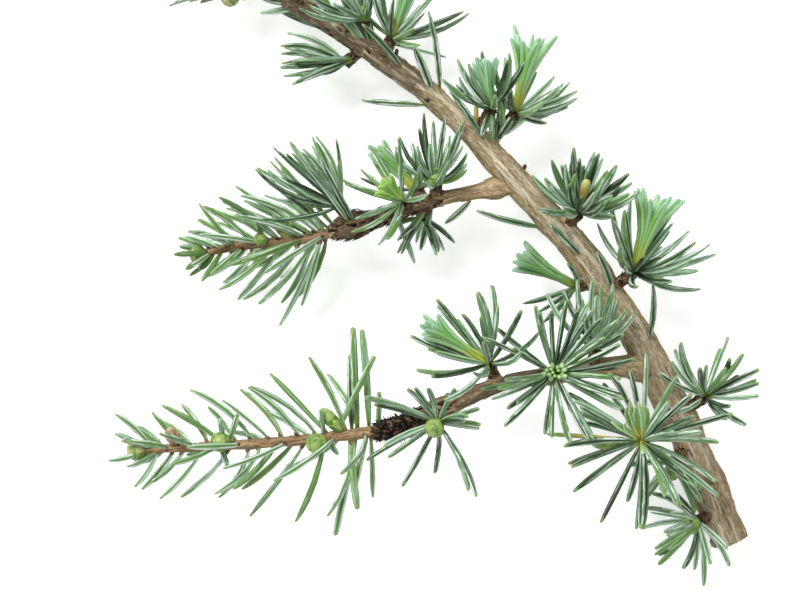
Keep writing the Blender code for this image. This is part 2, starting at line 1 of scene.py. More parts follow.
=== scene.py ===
"""Dresses a packed branch of atlas cedar: bark, ringed spurs, scaly knobs, buds, and every needle.

The growth rule is the part's own, written again here and carried further. Each needle of the solids has a
finer one in its place, and more grow between them within the same reach. A few end earlier, where the photo
shows open sky. Sizes are in metres. The routes and hearts are in the part's own layout, which `grown_at`
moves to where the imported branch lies.
"""

import json
import math
import random
from dataclasses import dataclass, replace
from functools import lru_cache

import bmesh
import bpy
import numpy as np
from bpy.props import FloatProperty, FloatVectorProperty, IntProperty, PointerProperty
from mathutils import Matrix, Quaternion, Vector, noise


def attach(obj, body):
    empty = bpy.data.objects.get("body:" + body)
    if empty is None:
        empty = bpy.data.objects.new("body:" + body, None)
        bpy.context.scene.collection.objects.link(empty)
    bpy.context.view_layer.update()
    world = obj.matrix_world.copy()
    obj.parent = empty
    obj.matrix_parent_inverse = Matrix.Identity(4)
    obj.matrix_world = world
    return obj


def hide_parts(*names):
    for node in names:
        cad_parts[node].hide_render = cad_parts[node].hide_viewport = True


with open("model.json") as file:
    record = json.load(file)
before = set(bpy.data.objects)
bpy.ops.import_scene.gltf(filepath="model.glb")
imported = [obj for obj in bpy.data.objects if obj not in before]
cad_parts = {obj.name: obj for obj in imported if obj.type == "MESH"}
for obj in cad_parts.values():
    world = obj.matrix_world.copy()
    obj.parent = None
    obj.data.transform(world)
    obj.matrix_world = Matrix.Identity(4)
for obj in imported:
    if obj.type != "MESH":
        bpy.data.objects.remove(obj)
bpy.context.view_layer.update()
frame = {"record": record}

bl_info = {
    "name": "Cedar Branch",
    "version": (1, 0, 0),
    "blender": (4, 5, 0),
    "location": "View3D > Sidebar > Cedar",
    "description": "Grows the bark, spurs, buds and needles of a cut cedar branch round its packed solids",
    "category": "Add Mesh",
}

UP = Vector((0.0, 0.0, 1.0))
DOWN = Vector((0.0, 0.0, -1.0))

# The plant's sizes, as in the part.
NEEDLE_WIDTH = 0.0014
NEEDLE_BROADEST = 0.62
NEEDLE_BEND = 0.05
SPUR_RADIUS = 0.0014
SPUR_FOOT_FLARE = 1.15
SPUR_BEND = (0.55, 0.4)
LEAN_FALL = 7.0
WHORL_REACH = 0.1
WHORL_LEAN = 36.0
WHORL_LENGTH = 0.75
SHOOT_FLATNESS = 0.7
HEART_SINK = 0.35
TUFT_FOOT = 0.5
BUD_SINK = 0.7
GOLDEN_ANGLE = 137.5
CLEARANCE = 0.0003
NEEDLE_GAP = 0.00025
ROOT_SHARE = 0.25
GROUND = 0.0
STEPS_PER_SPAN = 5
TURN_STRAY = 16.0
TILT_STRAY = 10.0
LENGTH_STRAY = (0.74, 1.08)
BEND_STRAY = (0.2, 2.0)
TUFT_LENGTH_STRAY = (0.92, 1.05)
TRIES = 6

# The routes of the stem and twigs, as in the part: (x, y, z, radius).
MAIN_STEM = (
    (0.0670, -0.0480, 0.0039, 0.0036),
    (0.0598, -0.0302, 0.0060, 0.0034),
    (0.0508, -0.0120, 0.0094, 0.0034),
    (0.0454, -0.0030, 0.0110, 0.0030),
    (0.0372, 0.0090, 0.0126, 0.0030),
    (0.0230, 0.0250, 0.0140, 0.0028),
    (0.0072, 0.0410, 0.0142, 0.0022),
    (-0.0116, 0.0550, 0.0136, 0.0024),
    (-0.0310, 0.0672, 0.0124, 0.0018),
    (-0.0500, 0.0840, 0.0115, 0.0013),
)
LOWER_TWIG = (
    (0.0512, -0.0126, 0.0095, 0.0023),
    (0.0410, -0.0122, 0.0126, 0.0019),
    (0.0300, -0.0140, 0.0150, 0.0017),
    (0.0200, -0.0156, 0.0160, 0.0015),
    (0.0090, -0.0200, 0.0160, 0.0021),
    (0.0014, -0.0238, 0.0156, 0.0023),
    (-0.0050, -0.0250, 0.0152, 0.0013),
)
UPPER_TWIG = (
    (0.0222, 0.0238, 0.0139, 0.0018),
    (0.0120, 0.0221, 0.0140, 0.0013),
    (0.0020, 0.0196, 0.0139, 0.0017),
    (-0.0054, 0.0171, 0.0137, 0.0019),
    (-0.0096, 0.0160, 0.0134, 0.0029),
    (-0.0142, 0.0144, 0.0130, 0.0012),
)
LIMBS = {"main_stem": MAIN_STEM, "lower_twig": LOWER_TWIG, "upper_twig": UPPER_TWIG}


@dataclass
class Tuft:
    """Young needles that stand close together in the middle of a rosette, like a brush."""

    bearing: float
    rise: float
    count: int
    length: float
    spread: float = 10.0
    tone: str = "fresh"


@dataclass
class Rosette:
    """A short spur with needles all round its end. Bearings turn from +X towards +Y, and rises are up from
    level. spread is how far its needles tilt from its own direction, the middle ones and the outer ones."""

    name: str
    limb: str
    heart: tuple
    bearing: float
    rise: float
    count: int
    length: float
    spread: tuple = (30.0, 95.0)
    heart_radius: float = 0.0016
    tuft: Tuft = None
    seed: int = 1
    middle: str = "bud"  # what shows in its heart: a bud, a cluster, a curl, a sheath or nothing but a knob
    plump: float = 1.0  # how wide its needles are, against the rest


@dataclass
class LeafyShoot:
    """The last year's growth of a limb: a thin twig with single needles round it and a bud at its end."""

    name: str
    route: tuple
    count: int
    length: tuple
    lean: tuple
    whorl: int
    bud_radius: float
    crowd: float = 1.0
    side_buds: tuple = ()
    seed: int = 1


@dataclass
class LoneNeedle:
    """A single needle that the bark has kept. Its seat turns from the bark's flank, 0, to its top, 90."""

    limb: str
    place: tuple
    bearing: float
    rise: float
    length: float
    seat: float


LEAFY_SHOOTS = (
    LeafyShoot(
        "lower_leafy_shoot",
        (
            (-0.0053, -0.0250, 0.0152, 0.0013),
            (-0.0160, -0.0264, 0.0144, 0.0012),
            (-0.0320, -0.0278, 0.0134, 0.0011),
            (-0.0512, -0.0288, 0.0120, 0.0009),
        ),
        count=40,
        length=(0.0225, 0.0098),
        lean=(94.0, 48.0),
        whorl=8,
        bud_radius=0.0017,
        side_buds=((0.23, 235.0, 60.0, 0.0019), (0.66, 100.0, 65.0, 0.0018)),
        seed=4,
    ),
    LeafyShoot(
        "upper_leafy_shoot",
        (
            (-0.0145, 0.0143, 0.0130, 0.0012),
            (-0.0220, 0.0128, 0.0126, 0.0011),
            (-0.0320, 0.0120, 0.0119, 0.0010),
            (-0.0392, 0.0105, 0.0115, 0.0009),
        ),
        count=37,
        length=(0.0210, 0.0076),
        lean=(58.0, 42.0),
        whorl=6,
        crowd=1.35,
        bud_radius=0.0015,
        side_buds=((0.55, 70.0, 55.0, 0.0012),),
        seed=9,
    ),
    LeafyShoot(
        "leader_leafy_shoot",
        (
            (-0.0502, 0.0842, 0.0115, 0.0013),
            (-0.0620, 0.0976, 0.0112, 0.0011),
            (-0.0712, 0.1106, 0.0113, 0.0009),
        ),
        count=28,
        length=(0.0180, 0.0095),
        lean=(80.0, 46.0),
        whorl=6,
        bud_radius=0.0016,
        side_buds=((0.45, 20.0, 60.0, 0.0014),),
        seed=5,
    ),
)

ROSETTES = (
    Rosette(
        "lower_rosette_1", "lower_twig", (0.0074, -0.0230, 0.0200), 240.0, 58.0, 13, 0.0155,
        spread=(50.0, 100.0), seed=3,
    ),
    Rosette(
        "lower_rosette_2", "lower_twig", (0.0176, -0.0116, 0.0172), 128.0, 25.0, 16, 0.0155,
        spread=(15.0, 76.0), tuft=Tuft(147.0, 14.0, 7, 0.0168, 7.0), seed=2, middle="knob",
    ),
    Rosette(
        "lower_rosette_3", "lower_twig", (0.0304, -0.0134, 0.0190), 80.0, 82.0, 22, 0.0155,
        spread=(48.0, 92.0), seed=5, middle="cluster",
    ),
    Rosette(
        "lower_rosette_4", "lower_twig", (0.0386, -0.0088, 0.0160), 88.0, 18.0, 15, 0.0138,
        spread=(8.0, 62.0), seed=7, middle="knob",
    ),
    Rosette(
        "stem_rosette_1", "main_stem", (0.0476, -0.0266, 0.0190), 205.0, 58.0, 26, 0.0178,
        spread=(40.0, 102.0), tuft=Tuft(100.0, 50.0, 7, 0.0085, 14.0), seed=6, middle="curl",
    ),
    Rosette(
        "stem_rosette_2", "main_stem", (0.0546, -0.0318, 0.0118), 262.0, 5.0, 8, 0.0095,
        spread=(25.0, 100.0), heart_radius=0.0013, seed=8,
    ),
    Rosette(
        "stem_rosette_3", "main_stem", (0.0610, -0.0182, 0.0124), 70.0, 22.0, 16, 0.0120,
        spread=(15.0, 95.0), seed=11, middle="knob",
    ),
    Rosette(
        "stem_rosette_4", "main_stem", (0.0602, -0.0436, 0.0078), 210.0, 10.0, 12, 0.0120,
        spread=(20.0, 95.0), seed=12,
    ),
    Rosette(
        "stem_rosette_5", "main_stem", (0.0464, 0.0066, 0.0150), 50.0, 18.0, 20, 0.0152,
        spread=(20.0, 84.0), tuft=Tuft(72.0, 14.0, 8, 0.0178, 13.0), seed=13, middle="knob", plump=1.15,
    ),
    Rosette(
        "stem_rosette_6", "main_stem", (0.0354, 0.0184, 0.0168), 74.0, 38.0, 24, 0.0128,
        spread=(14.0, 68.0), seed=14, middle="sheath", plump=1.28,
    ),
    Rosette(
        "stem_rosette_7", "main_stem", (0.0356, 0.0038, 0.0094), 156.0, -6.0, 6, 0.0120,
        spread=(50.0, 95.0), tuft=Tuft(153.0, 0.0, 8, 0.0145, 9.0, "dull"), seed=15, middle="knob",
    ),
    Rosette(
        "stem_rosette_8", "main_stem", (0.0230, 0.0382, 0.0146), 60.0, 8.0, 14, 0.0120,
        spread=(20.0, 82.0), tuft=Tuft(77.0, 8.0, 8, 0.0168, 12.0), seed=16, middle="knob", plump=1.15,
    ),
    Rosette(
        "stem_rosette_9", "main_stem", (0.0180, 0.0388, 0.0178), 98.0, 30.0, 13, 0.0115,
        spread=(12.0, 64.0), tuft=Tuft(99.0, 18.0, 6, 0.0110, 10.0, "teal"), seed=17, middle="knob",
        plump=1.15,
    ),
    Rosette(
        "stem_rosette_10", "main_stem", (-0.0016, 0.0530, 0.0150), 64.0, 10.0, 15, 0.0158,
        spread=(20.0, 84.0), tuft=Tuft(72.0, 10.0, 8, 0.0170, 10.0, "teal"), seed=38, middle="knob",
    ),
    Rosette(
        "stem_rosette_11", "main_stem", (-0.0070, 0.0566, 0.0168), 112.0, 28.0, 16, 0.0150,
        spread=(10.0, 60.0), seed=19,
    ),
    Rosette(
        "stem_rosette_12", "main_stem", (-0.0108, 0.0488, 0.0102), 184.0, -4.0, 12, 0.0155,
        spread=(6.0, 40.0), seed=20, middle="knob",
    ),
    Rosette(
        "upper_rosette_1", "upper_twig", (0.0070, 0.0240, 0.0164), 85.0, 30.0, 13, 0.0130,
        spread=(10.0, 66.0), seed=21,
    ),
    Rosette(
        "upper_rosette_2", "upper_twig", (0.0034, 0.0230, 0.0134), 118.0, 0.0, 7, 0.0115,
        spread=(25.0, 80.0), tuft=Tuft(134.0, 4.0, 6, 0.0130, 6.0), seed=22, middle="knob",
    ),
    Rosette(
        "upper_rosette_3", "upper_twig", (0.0004, 0.0206, 0.0170), 140.0, 40.0, 14, 0.0125,
        spread=(30.0, 90.0), tuft=Tuft(142.0, 30.0, 5, 0.0065, 14.0, "lime"), seed=23, middle="knob",
    ),
    Rosette(
        "upper_rosette_4", "upper_twig", (-0.0118, 0.0196, 0.0158), 134.0, 20.0, 15, 0.0180,
        spread=(4.0, 46.0), seed=24, middle="knob",
    ),
    Rosette(
        "upper_rosette_5", "upper_twig", (0.0046, 0.0176, 0.0118), 262.0, -12.0, 7, 0.0095,
        spread=(20.0, 70.0), heart_radius=0.0013, seed=25, middle="knob",
    ),
    Rosette(
        "leader_rosette_1", "main_stem", (-0.0240, 0.0672, 0.0150), 62.0, 30.0, 14, 0.0140,
        spread=(25.0, 98.0), tuft=Tuft(64.0, 25.0, 6, 0.0140, 9.0), seed=26, middle="knob",
    ),
    Rosette(
        "leader_rosette_2", "main_stem", (-0.0330, 0.0626, 0.0128), 228.0, 8.0, 16, 0.0135,
        spread=(25.0, 98.0), seed=27,
    ),
    Rosette(
        "leader_rosette_3", "main_stem", (-0.0386, 0.0774, 0.0158), 60.0, 60.0, 16, 0.0130,
        spread=(40.0, 98.0), seed=28, middle="cluster",
    ),
    Rosette(
        "leader_rosette_4", "main_stem", (-0.0486, 0.0778, 0.0118), 222.0, 4.0, 14, 0.0130,
        spread=(25.0, 98.0), tuft=Tuft(205.0, 5.0, 6, 0.0130, 9.0), seed=29, middle="knob",
    ),
)

LONE_NEEDLES = (
    LoneNeedle("main_stem", (0.0082, 0.0432), 102.0, 8.0, 0.0150, 20.0),
    LoneNeedle("main_stem", (0.0048, 0.0392), 172.0, 4.0, 0.0125, 10.0),
    LoneNeedle("main_stem", (0.0000, 0.0466), 136.0, 20.0, 0.0120, 75.0),
    LoneNeedle("main_stem", (0.0172, 0.0330), 128.0, 18.0, 0.0125, 75.0),
    LoneNeedle("main_stem", (0.0280, 0.0150), 160.0, 2.0, 0.0130, 5.0),
    LoneNeedle("main_stem", (0.0352, 0.0092), 135.0, 22.0, 0.0100, 80.0),
    LoneNeedle("main_stem", (0.0434, 0.0026), 116.0, 20.0, 0.0100, 80.0),
    LoneNeedle("main_stem", (0.0504, -0.0070), 92.0, 14.0, 0.0115, 60.0),
    LoneNeedle("upper_twig", (0.0140, 0.0212), 216.0, -4.0, 0.0065, 0.0),
)

# Where the bark is darker, and old bud scales stay on it: (limb, share from, share to, scales, darker by).
DARKER_BARK_AND_SHADE = (
    ("lower_twig", 0.70, 0.80, 70, 0.30),
    ("lower_twig", 0.79, 0.93, 120, 0.46),
    ("lower_twig", 0.88, 1.03, 60, 0.60),
    ("lower_twig", 0.33, 0.38, 34, 0.36),
    ("lower_twig", 0.38, 0.74, 0, 0.40),
    ("upper_twig", 0.36, 0.60, 50, 0.42),
    ("upper_twig", 0.60, 0.98, 300, 0.76),
    # Near the cut end the bark is darker partly as painted shade under the rosettes over it.
    ("main_stem", -0.10, 0.30, 0, 0.10),
    ("main_stem", 0.60, 1.05, 70, 0.34),
    ("main_stem", 0.72, 0.80, 40, 0.42),
)
KNOB_FADE = 0.03  # how gently the darker bark begins and ends, as a share of its limb

# Where a lost needle has left a dark stub: (limb, beside, seat).
STUBS = (
    ("main_stem", (0.0256, 0.0262), 10.0),
    ("main_stem", (0.0006, 0.0500), 8.0),
    ("main_stem", (0.0552, -0.0136), 12.0),
)

# Short needles beside the shoots' side buds: (shoot, share, bearing, rise, length).
BUD_NEEDLES = (
    ("lower_leafy_shoot", 0.655, 93.0, 25.0, 0.0064),
    ("lower_leafy_shoot", 0.635, 71.0, 25.0, 0.0078),
    ("lower_leafy_shoot", 0.665, 291.0, 10.0, 0.0046),
    ("lower_leafy_shoot", 0.215, 97.0, 28.0, 0.0066),
    ("lower_leafy_shoot", 0.205, 305.0, 10.0, 0.0042),
    ("upper_leafy_shoot", 0.53, 96.0, 28.0, 0.0064),
    ("leader_leafy_shoot", 0.43, 60.0, 25.0, 0.0062),
    ("leader_leafy_shoot", 0.47, 330.0, 15.0, 0.0050),
)

# Dry sheaths of new shoots: (foot, bearing, rise, length, width).
SHEATHS = (
    ((0.0354, 0.0184, 0.0168), 79.0, 32.0, 0.0076, 0.0025),
    ((0.0150, 0.0334, 0.0156), 90.0, 16.0, 0.0064, 0.0013),
    ((-0.0012, 0.0534, 0.0148), 100.0, 30.0, 0.0052, 0.0012),
)

# Buds beside the others: (foot, bearing, rise, radius, length, share of dry scales).
SPARE_BUDS = (
    ((-0.0114, -0.0252, 0.0150), 132.0, 10.0, 0.0012, 0.0066, 0.1),
    ((-0.0446, -0.0278, 0.0126), 112.0, 26.0, 0.0013, 0.0042, 1.0),
    ((-0.0215, 0.0130, 0.0124), 125.0, 8.0, 0.0014, 0.0066, 0.1),
    ((0.0466, -0.0270, 0.0168), 184.0, -10.0, 0.0011, 0.0088, 0.2),
)


def paint(*seen):
    """A colour as the eye sees it, 0 to 255, in the linear values that a shader takes."""
    return tuple(((c / 255 + 0.055) / 1.055) ** 2.4 if c > 10 else c / 255 / 12.92 for c in seen)


def colour_setting(name, description, *seen):
    default = paint(*seen)
    return FloatVectorProperty(
        name=name, description=description, default=default, subtype="COLOR", min=0.0, max=1.0
    )


def length_setting(name, description, default):
    return FloatProperty(
        name=name, description=description, default=default, min=0.0, subtype="DISTANCE", unit="LENGTH",
        precision=5,
    )


def share_setting(name, description, default):
    return FloatProperty(name=name, description=description, default=default, min=0.0, subtype="FACTOR")


def strength_setting(name, description, default):
    return FloatProperty(name=name, description=description, default=default, min=0.0)


class CedarBranchBark(bpy.types.PropertyGroup):
    """The bark's relief and colours."""

    stem_sides: IntProperty(name="Stem sides", description="Faces round the main stem", default=120, min=8)
    twig_sides: IntProperty(name="Twig sides", description="Faces round a twig", default=56, min=8)
    ring_gap: length_setting("Ring gap", "Distance between rings of faces along a limb", 0.00042)
    furrow_depth: length_setting("Furrow depth", "Depth of the furrows that run along a limb", 0.00022)
    cushion_height: length_setting("Cushion height", "Height of the ridge below a leaf scar", 0.00030)
    cushion_gap: length_setting("Cushion gap", "Distance along a limb between leaf scars", 0.0016)
    # The pale colours also paint the highlight on the bark's top and ridges, the shade colours the painted
    # shade in its low relief and underside, and the olive ones the painted shade on its flanks.
    stem_pale: colour_setting("Stem, pale", "Worn ridges of the stem's bark", 228, 213, 186)
    stem_tan: colour_setting("Stem, tan", "Most of the stem's bark", 168, 148, 116)
    stem_shade: colour_setting("Stem, shade", "Furrows of the stem's bark", 74, 58, 36)
    stem_moss: colour_setting("Stem, green", "Olive cast of the younger bark", 138, 116, 60)
    twig_pale: colour_setting("Twig, pale", "Worn ridges of a twig's bark", 216, 190, 150)
    twig_tan: colour_setting("Twig, orange", "Most of a twig's bark", 184, 152, 112)
    twig_shade: colour_setting("Twig, shade", "Furrows of a twig's bark", 66, 46, 27)
    twig_moss: colour_setting("Twig, green", "Green cast of the newest bark", 140, 126, 76)
    shoot_tan: colour_setting("Shoot, brown", "Most of the newest twigs' bark", 146, 114, 80)
    wood_pale: colour_setting("Wood", "Fresh wood at the cut", 226, 204, 160)
    wood_ring: colour_setting("Wood rings", "Year rings and pith at the cut", 176, 138, 92)


class CedarBranchNeedles(bpy.types.PropertyGroup):
    """The needles' sizes and colours."""

    old_width: length_setting("Old needle width", "Width of a rosette's needle", 0.00152)
    shoot_width: length_setting("Shoot needle width", "Width of a leafy shoot's needle", 0.00165)
    young_width: length_setting("Young blade width", "Width of a tuft's blade", 0.0019)
    flatness: share_setting("Flatness", "A needle's thickness, as a share of its width", 0.7)
    more_old: share_setting("More needles", "Needles between the solids', as a share of those", 0.55)
    bloom_pale: colour_setting("Bloom, pale", "Wax of the palest needles", 226, 242, 230)
    bloom_mid: colour_setting("Bloom, middle", "Skin of the palest needles", 160, 193, 168)
    bloom_dark: colour_setting("Bloom, dark", "Skin of most needles", 90, 127, 88)
    ridge_green: colour_setting("Ridge, green", "The green between a needle's bands", 88, 126, 54)
    ridge_dark: colour_setting("Ridge, dark", "The green between an old needle's bands", 36, 54, 24)
    leaf_green: colour_setting("Green", "Needles with little wax", 110, 156, 78)
    shoot_band: colour_setting("Shoot band", "Skin of a shoot's needles", 108, 147, 84)
    shoot_ridge: colour_setting("Shoot ridge", "Edges of a shoot's needles", 94, 134, 52)
    tip_lime: colour_setting("Tip", "A needle's tip", 132, 164, 96)
    foot_lime: colour_setting("Foot", "A needle's foot", 120, 140, 56)
    fresh_blade: colour_setting("Fresh blade", "Most tufts' blades", 120, 176, 82)
    teal_blade: colour_setting("Teal blade", "The bluest tufts' blades", 98, 160, 98)
    dull_blade: colour_setting("Dull blade", "The oldest tufts' blades", 78, 122, 62)
    lime_blade: colour_setting("Lime blade", "The newest tufts' blades", 128, 184, 70)
    young_pale: colour_setting("Young, pale", "Wax and edges of a tuft's blades", 172, 212, 164)
    young_tip: colour_setting("Young tip", "The blue-green end of a tuft's blade", 168, 206, 178)
    young_half: colour_setting("Young half", "The paler half of a folded blade", 160, 204, 142)
    young_fold: colour_setting("Young fold", "The middle line of a folded blade", 76, 136, 54)
    lime_half: colour_setting("Lime half", "The paler half of the newest blades", 170, 210, 108)
    young_rim: colour_setting("Young rim", "The pale rim round a new needle's end", 208, 230, 186)
    young_foot: colour_setting("Young foot", "The yellow foot of a tuft", 206, 202, 66)
    curl_foot: colour_setting("Curl foot", "The orange foot of the newest blades", 214, 176, 70)
    yellowed: colour_setting("Yellowed", "The few needles that turn yellow", 204, 190, 96)
    sheath_skin: colour_setting("Sheath", "The dry sheath round a new shoot", 200, 158, 66)
    sheath_foot: colour_setting("Sheath foot", "The dark foot of a sheath", 132, 74, 32)
    sheath_tip: colour_setting("Sheath tip", "The pale end of a sheath", 198, 196, 122)


class CedarBranchBuds(bpy.types.PropertyGroup):
    """The buds', scales' and chaff's sizes and colours."""

    scale_length: length_setting("Scale length", "Length of an old bud scale", 0.0017)
    scale_width: length_setting("Scale width", "Width of an old bud scale", 0.0011)
    bud_green: colour_setting("Bud, green", "A bud's scales", 92, 130, 48)
    bud_lime: colour_setting("Bud, pale", "The paler edges of a bud's scales", 160, 184, 104)
    bud_tan: colour_setting("Bud, tan", "The papery end of a bud", 194, 182, 132)
    scale_tan: colour_setting("Scale, tan", "The palest old scales", 140, 110, 78)
    scale_brown: colour_setting("Scale, brown", "Most old scales", 90, 65, 43)
    scale_dark: colour_setting("Scale, dark", "The darkest old scales", 45, 32, 21)
    chaff_black: colour_setting("Chaff", "Black tattered scales", 20, 15, 13)


class CedarBranchStage(bpy.types.PropertyGroup):
    """The floor, the light and the camera."""

    floor_side: length_setting("Floor side", "Side of the square floor", 6.0)
    floor_white: colour_setting("Floor", "The pale floor", 247, 247, 248)
    floor_glow: strength_setting("Floor glow", "Light that the floor gives back from below", 0.52)
    camera_height: length_setting("Camera height", "Height of the camera over the middle height", 0.45)
    middle_height: length_setting("Middle height", "Where the picture's scale is true", 0.012)
    picture_width: length_setting("Picture width", "What the picture takes in at the middle height", 0.16)
    key_power: strength_setting("Key light", "Watts of the soft light from the upper left", 12.0)
    fill_power: strength_setting("Fill light", "Watts of the wider light from the lower right", 2.0)
    sky_strength: strength_setting("Sky", "Strength of the even white light", 0.42)


# Growth, by the part's rule.


def heading(bearing, rise):
    """The unit vector at a bearing from +X towards +Y and a rise above level, both in degrees."""
    level, up = math.radians(bearing), math.radians(rise)
    return Vector((math.cos(up) * math.cos(level), math.cos(up) * math.sin(level), math.sin(up)))


def swing(first, second, angle):
    """The direction at an angle, in radians, from one unit vector towards another that is square to it."""
    return first * math.cos(angle) + second * math.sin(angle)


def smooth_route(route):
    """Places along a smooth curve through the route's points, each as (centre, radius)."""
    last = len(route) - 1
    places = []
    for i in range(last):
        before, start, end, after = (Vector(route[min(max(k, 0), last)]) for k in (i - 1, i, i + 1, i + 2))
        for step in range(STEPS_PER_SPAN):
            t = step / STEPS_PER_SPAN
            place = 0.5 * (
                2 * start
                + (end - before) * t
                + (2 * before - 5 * start + 4 * end - after) * t * t
                + (3 * start - before - 3 * end + after) * t**3
            )
            places.append((place.to_3d(), place[3]))
    places.append((Vector(route[last][:3]), route[last][3]))
    return places


def place_along(places, share):
    """The centre, the direction and the radius at a share of the way along a limb."""
    lengths = [(b[0] - a[0]).length for a, b in zip(places, places[1:])]
    left = share * sum(lengths)
    for (a, b), length in zip(zip(places, places[1:]), lengths):
        if left <= length:
            break
        left -= length
    else:
        left = length
    t = left / length
    return a[0].lerp(b[0], t), (b[0] - a[0]).normalized(), a[1] + (b[1] - a[1]) * t


def nearest_place(places, point):
    """The centre, the direction and the radius of the limb where it passes nearest to a point."""
    found = None
    for a, b in zip(places, places[1:]):
        span = b[0] - a[0]
        t = min(max((point - a[0]).dot(span) / span.length_squared, 0.0), 1.0)
        centre = a[0] + span * t
        distance = (point - centre).length
        if found is None or distance < found[0]:
            found = (distance, centre, span.normalized(), a[1] + (b[1] - a[1]) * t)
    return found[1:]


PARALLEL = 1e-18  # segments that cross at less than this count as parallel


def segment_gap(a, b, c, d):
    """The distance between the segments a-b and c-d."""
    u, v, w = b - a, d - c, a - c
    uu, uv, vv, uw, vw = u.dot(u), u.dot(v), v.dot(v), u.dot(w), v.dot(w)
    crossing = uu * vv - uv * uv
    s = min(max((uv * vw - vv * uw) / crossing, 0.0), 1.0) if crossing > PARALLEL else 0.0
    t = min(max((uv * s + vw) / vv, 0.0), 1.0)
    s = min(max((uv * t - uw) / uu, 0.0), 1.0)
    return (w + u * s - v * t).length


class Space:
    """What is already there, as round-ended rods, so that a new needle can keep clear of it."""

    def __init__(self):
        self.rods = []

    def add(self, owner, a, b, radius):
        self.rods.append((owner, a, b, radius, (a + b) / 2, (b - a).length / 2))

    def add_limb(self, owner, places):
        for a, b in zip(places, places[1:]):
            self.add(owner, a[0], b[0], max(a[1], b[1]))

    def add_needle(self, owner, needle):
        self.add(owner, needle.root, needle.middle, NEEDLE_WIDTH / 2)
        self.add(owner, needle.middle, needle.tip, NEEDLE_WIDTH / 2)

    def is_clear(self, owner, needle):
        """Whether a needle, but for its sunken root, keeps clear of every other piece."""
        radius = NEEDLE_WIDTH / 2
        points = (needle.root.lerp(needle.middle, ROOT_SHARE), needle.middle, needle.tip)
        for a, b in zip(points, points[1:]):
            middle, half = (a + b) / 2, (b - a).length / 2
            for other, c, d, other_radius, other_middle, other_half in self.rods:
                if other == owner:
                    continue
                least = radius + other_radius + NEEDLE_GAP
                if (middle - other_middle).length > half + other_half + least:
                    continue
                if segment_gap(a, b, c, d) < least:
                    return False
        return True


@dataclass
class Needle:
    root: Vector
    middle: Vector
    tip: Vector


def bent_needle(root, along, length, bend_towards, bend=1.0):
    """A needle from its root, with its middle a little off the straight line. One that would pass through
    the ground ends on it."""
    tip = root + along * length
    if tip.z < GROUND:
        level = Vector((along.x, along.y, 0.0))
        reach = math.sqrt(max(length**2 - (root.z - GROUND) ** 2, 0.0))
        tip = Vector((root.x, root.y, GROUND)) + level.normalized() * reach
    middle = root.lerp(tip, NEEDLE_BROADEST) - bend_towards * (bend * NEEDLE_BEND * length)
    middle.z = max(middle.z, GROUND + NEEDLE_WIDTH / 2)
    return Needle(root, middle, tip)


def rosette_needles(rosette, space, count, seed):
    """Needles round a spur's end, each a golden angle on from the last, the outer ones tilted furthest."""
    chance = random.Random(seed)
    axis = heading(rosette.bearing, rosette.rise)
    side = axis.orthogonal().normalized()
    heart = Vector(rosette.heart)
    needles = []
    for k in range(count):
        share = (k + 0.5) / count
        for _ in range(TRIES):
            turn = k * GOLDEN_ANGLE + chance.uniform(-TURN_STRAY, TURN_STRAY)
            tilt = rosette.spread[0] + (rosette.spread[1] - rosette.spread[0]) * share
            tilt += chance.uniform(-TILT_STRAY, TILT_STRAY)
            length = rosette.length * chance.uniform(*LENGTH_STRAY)
            out = Quaternion(axis, math.radians(turn)) @ side
            along = swing(axis, out, math.radians(tilt))
            root = heart + along * (HEART_SINK * rosette.heart_radius)
            bend = chance.uniform(*BEND_STRAY)
            needle = bent_needle(root, along, length, (axis - along * axis.dot(along)).normalized(), bend)
            if space.is_clear(rosette.name, needle):
                needles.append(needle)
                break
    return needles, chance


def tuft_needles(rosette, chance, space, count):
    """The brush of young needles in a rosette's heart."""
    tuft = rosette.tuft
    axis = heading(tuft.bearing, tuft.rise)
    side = axis.orthogonal().normalized()
    heart = Vector(rosette.heart)
    needles = []
    for k in range(count):
        share = math.sqrt((k + 0.5) / count)
        tilt = tuft.spread * share
        out = Quaternion(axis, math.radians(k * GOLDEN_ANGLE)) @ side
        along = swing(axis, out, math.radians(tilt))
        length = tuft.length * chance.uniform(*TUFT_LENGTH_STRAY)
        root = heart + out * (TUFT_FOOT * SPUR_RADIUS * share)
        needle = bent_needle(root, along, length, out)
        if space.is_clear(rosette.name, needle):
            needles.append(needle)
    return needles


def shoot_stations(shoot):
    """Where on a leafy shoot each needle stands, how far it leans, and how long it is. Those at its foot
    stand squarest, and a whorl of short ones closes round its end bud."""
    stations = []
    for k in range(shoot.count):
        share = ((k + 0.5) / shoot.count) ** shoot.crowd
        lean = shoot.lean[1] + (shoot.lean[0] - shoot.lean[1]) * (1 - share) ** LEAN_FALL
        stations.append((share, lean, shoot.length[0] + (shoot.length[1] - shoot.length[0]) * share))
    for k in range(shoot.whorl):
        share = 1 - WHORL_REACH * (k + 0.5) / shoot.whorl
        stations.append((share, WHORL_LEAN, WHORL_LENGTH * shoot.length[1]))
    return stations


def shoot_needles(shoot, places, space):
    """Single needles all round a leafy shoot, each a golden angle on from the last."""
    chance = random.Random(shoot.seed)
    needles = []
    for k, (share, lean, length) in enumerate(shoot_stations(shoot)):
        centre, line, _ = place_along(places, share)
        side = line.orthogonal().normalized()
        for _ in range(TRIES):
            turn = k * GOLDEN_ANGLE + chance.uniform(-TURN_STRAY, TURN_STRAY)
            tilt = math.radians(lean + chance.uniform(-TILT_STRAY, TILT_STRAY))
            reach = length * chance.uniform(*LENGTH_STRAY)
            out = Quaternion(line, math.radians(turn)) @ side
            out.z *= SHOOT_FLATNESS
            out = (out - line * out.dot(line)).normalized()
            along = swing(line, out, tilt)
            bend = chance.uniform(*BEND_STRAY)
            needle = bent_needle(centre, along, reach, (line - along * line.dot(along)).normalized(), bend)
            if space.is_clear(shoot.name, needle):
                needles.append(needle)
                break
    return needles


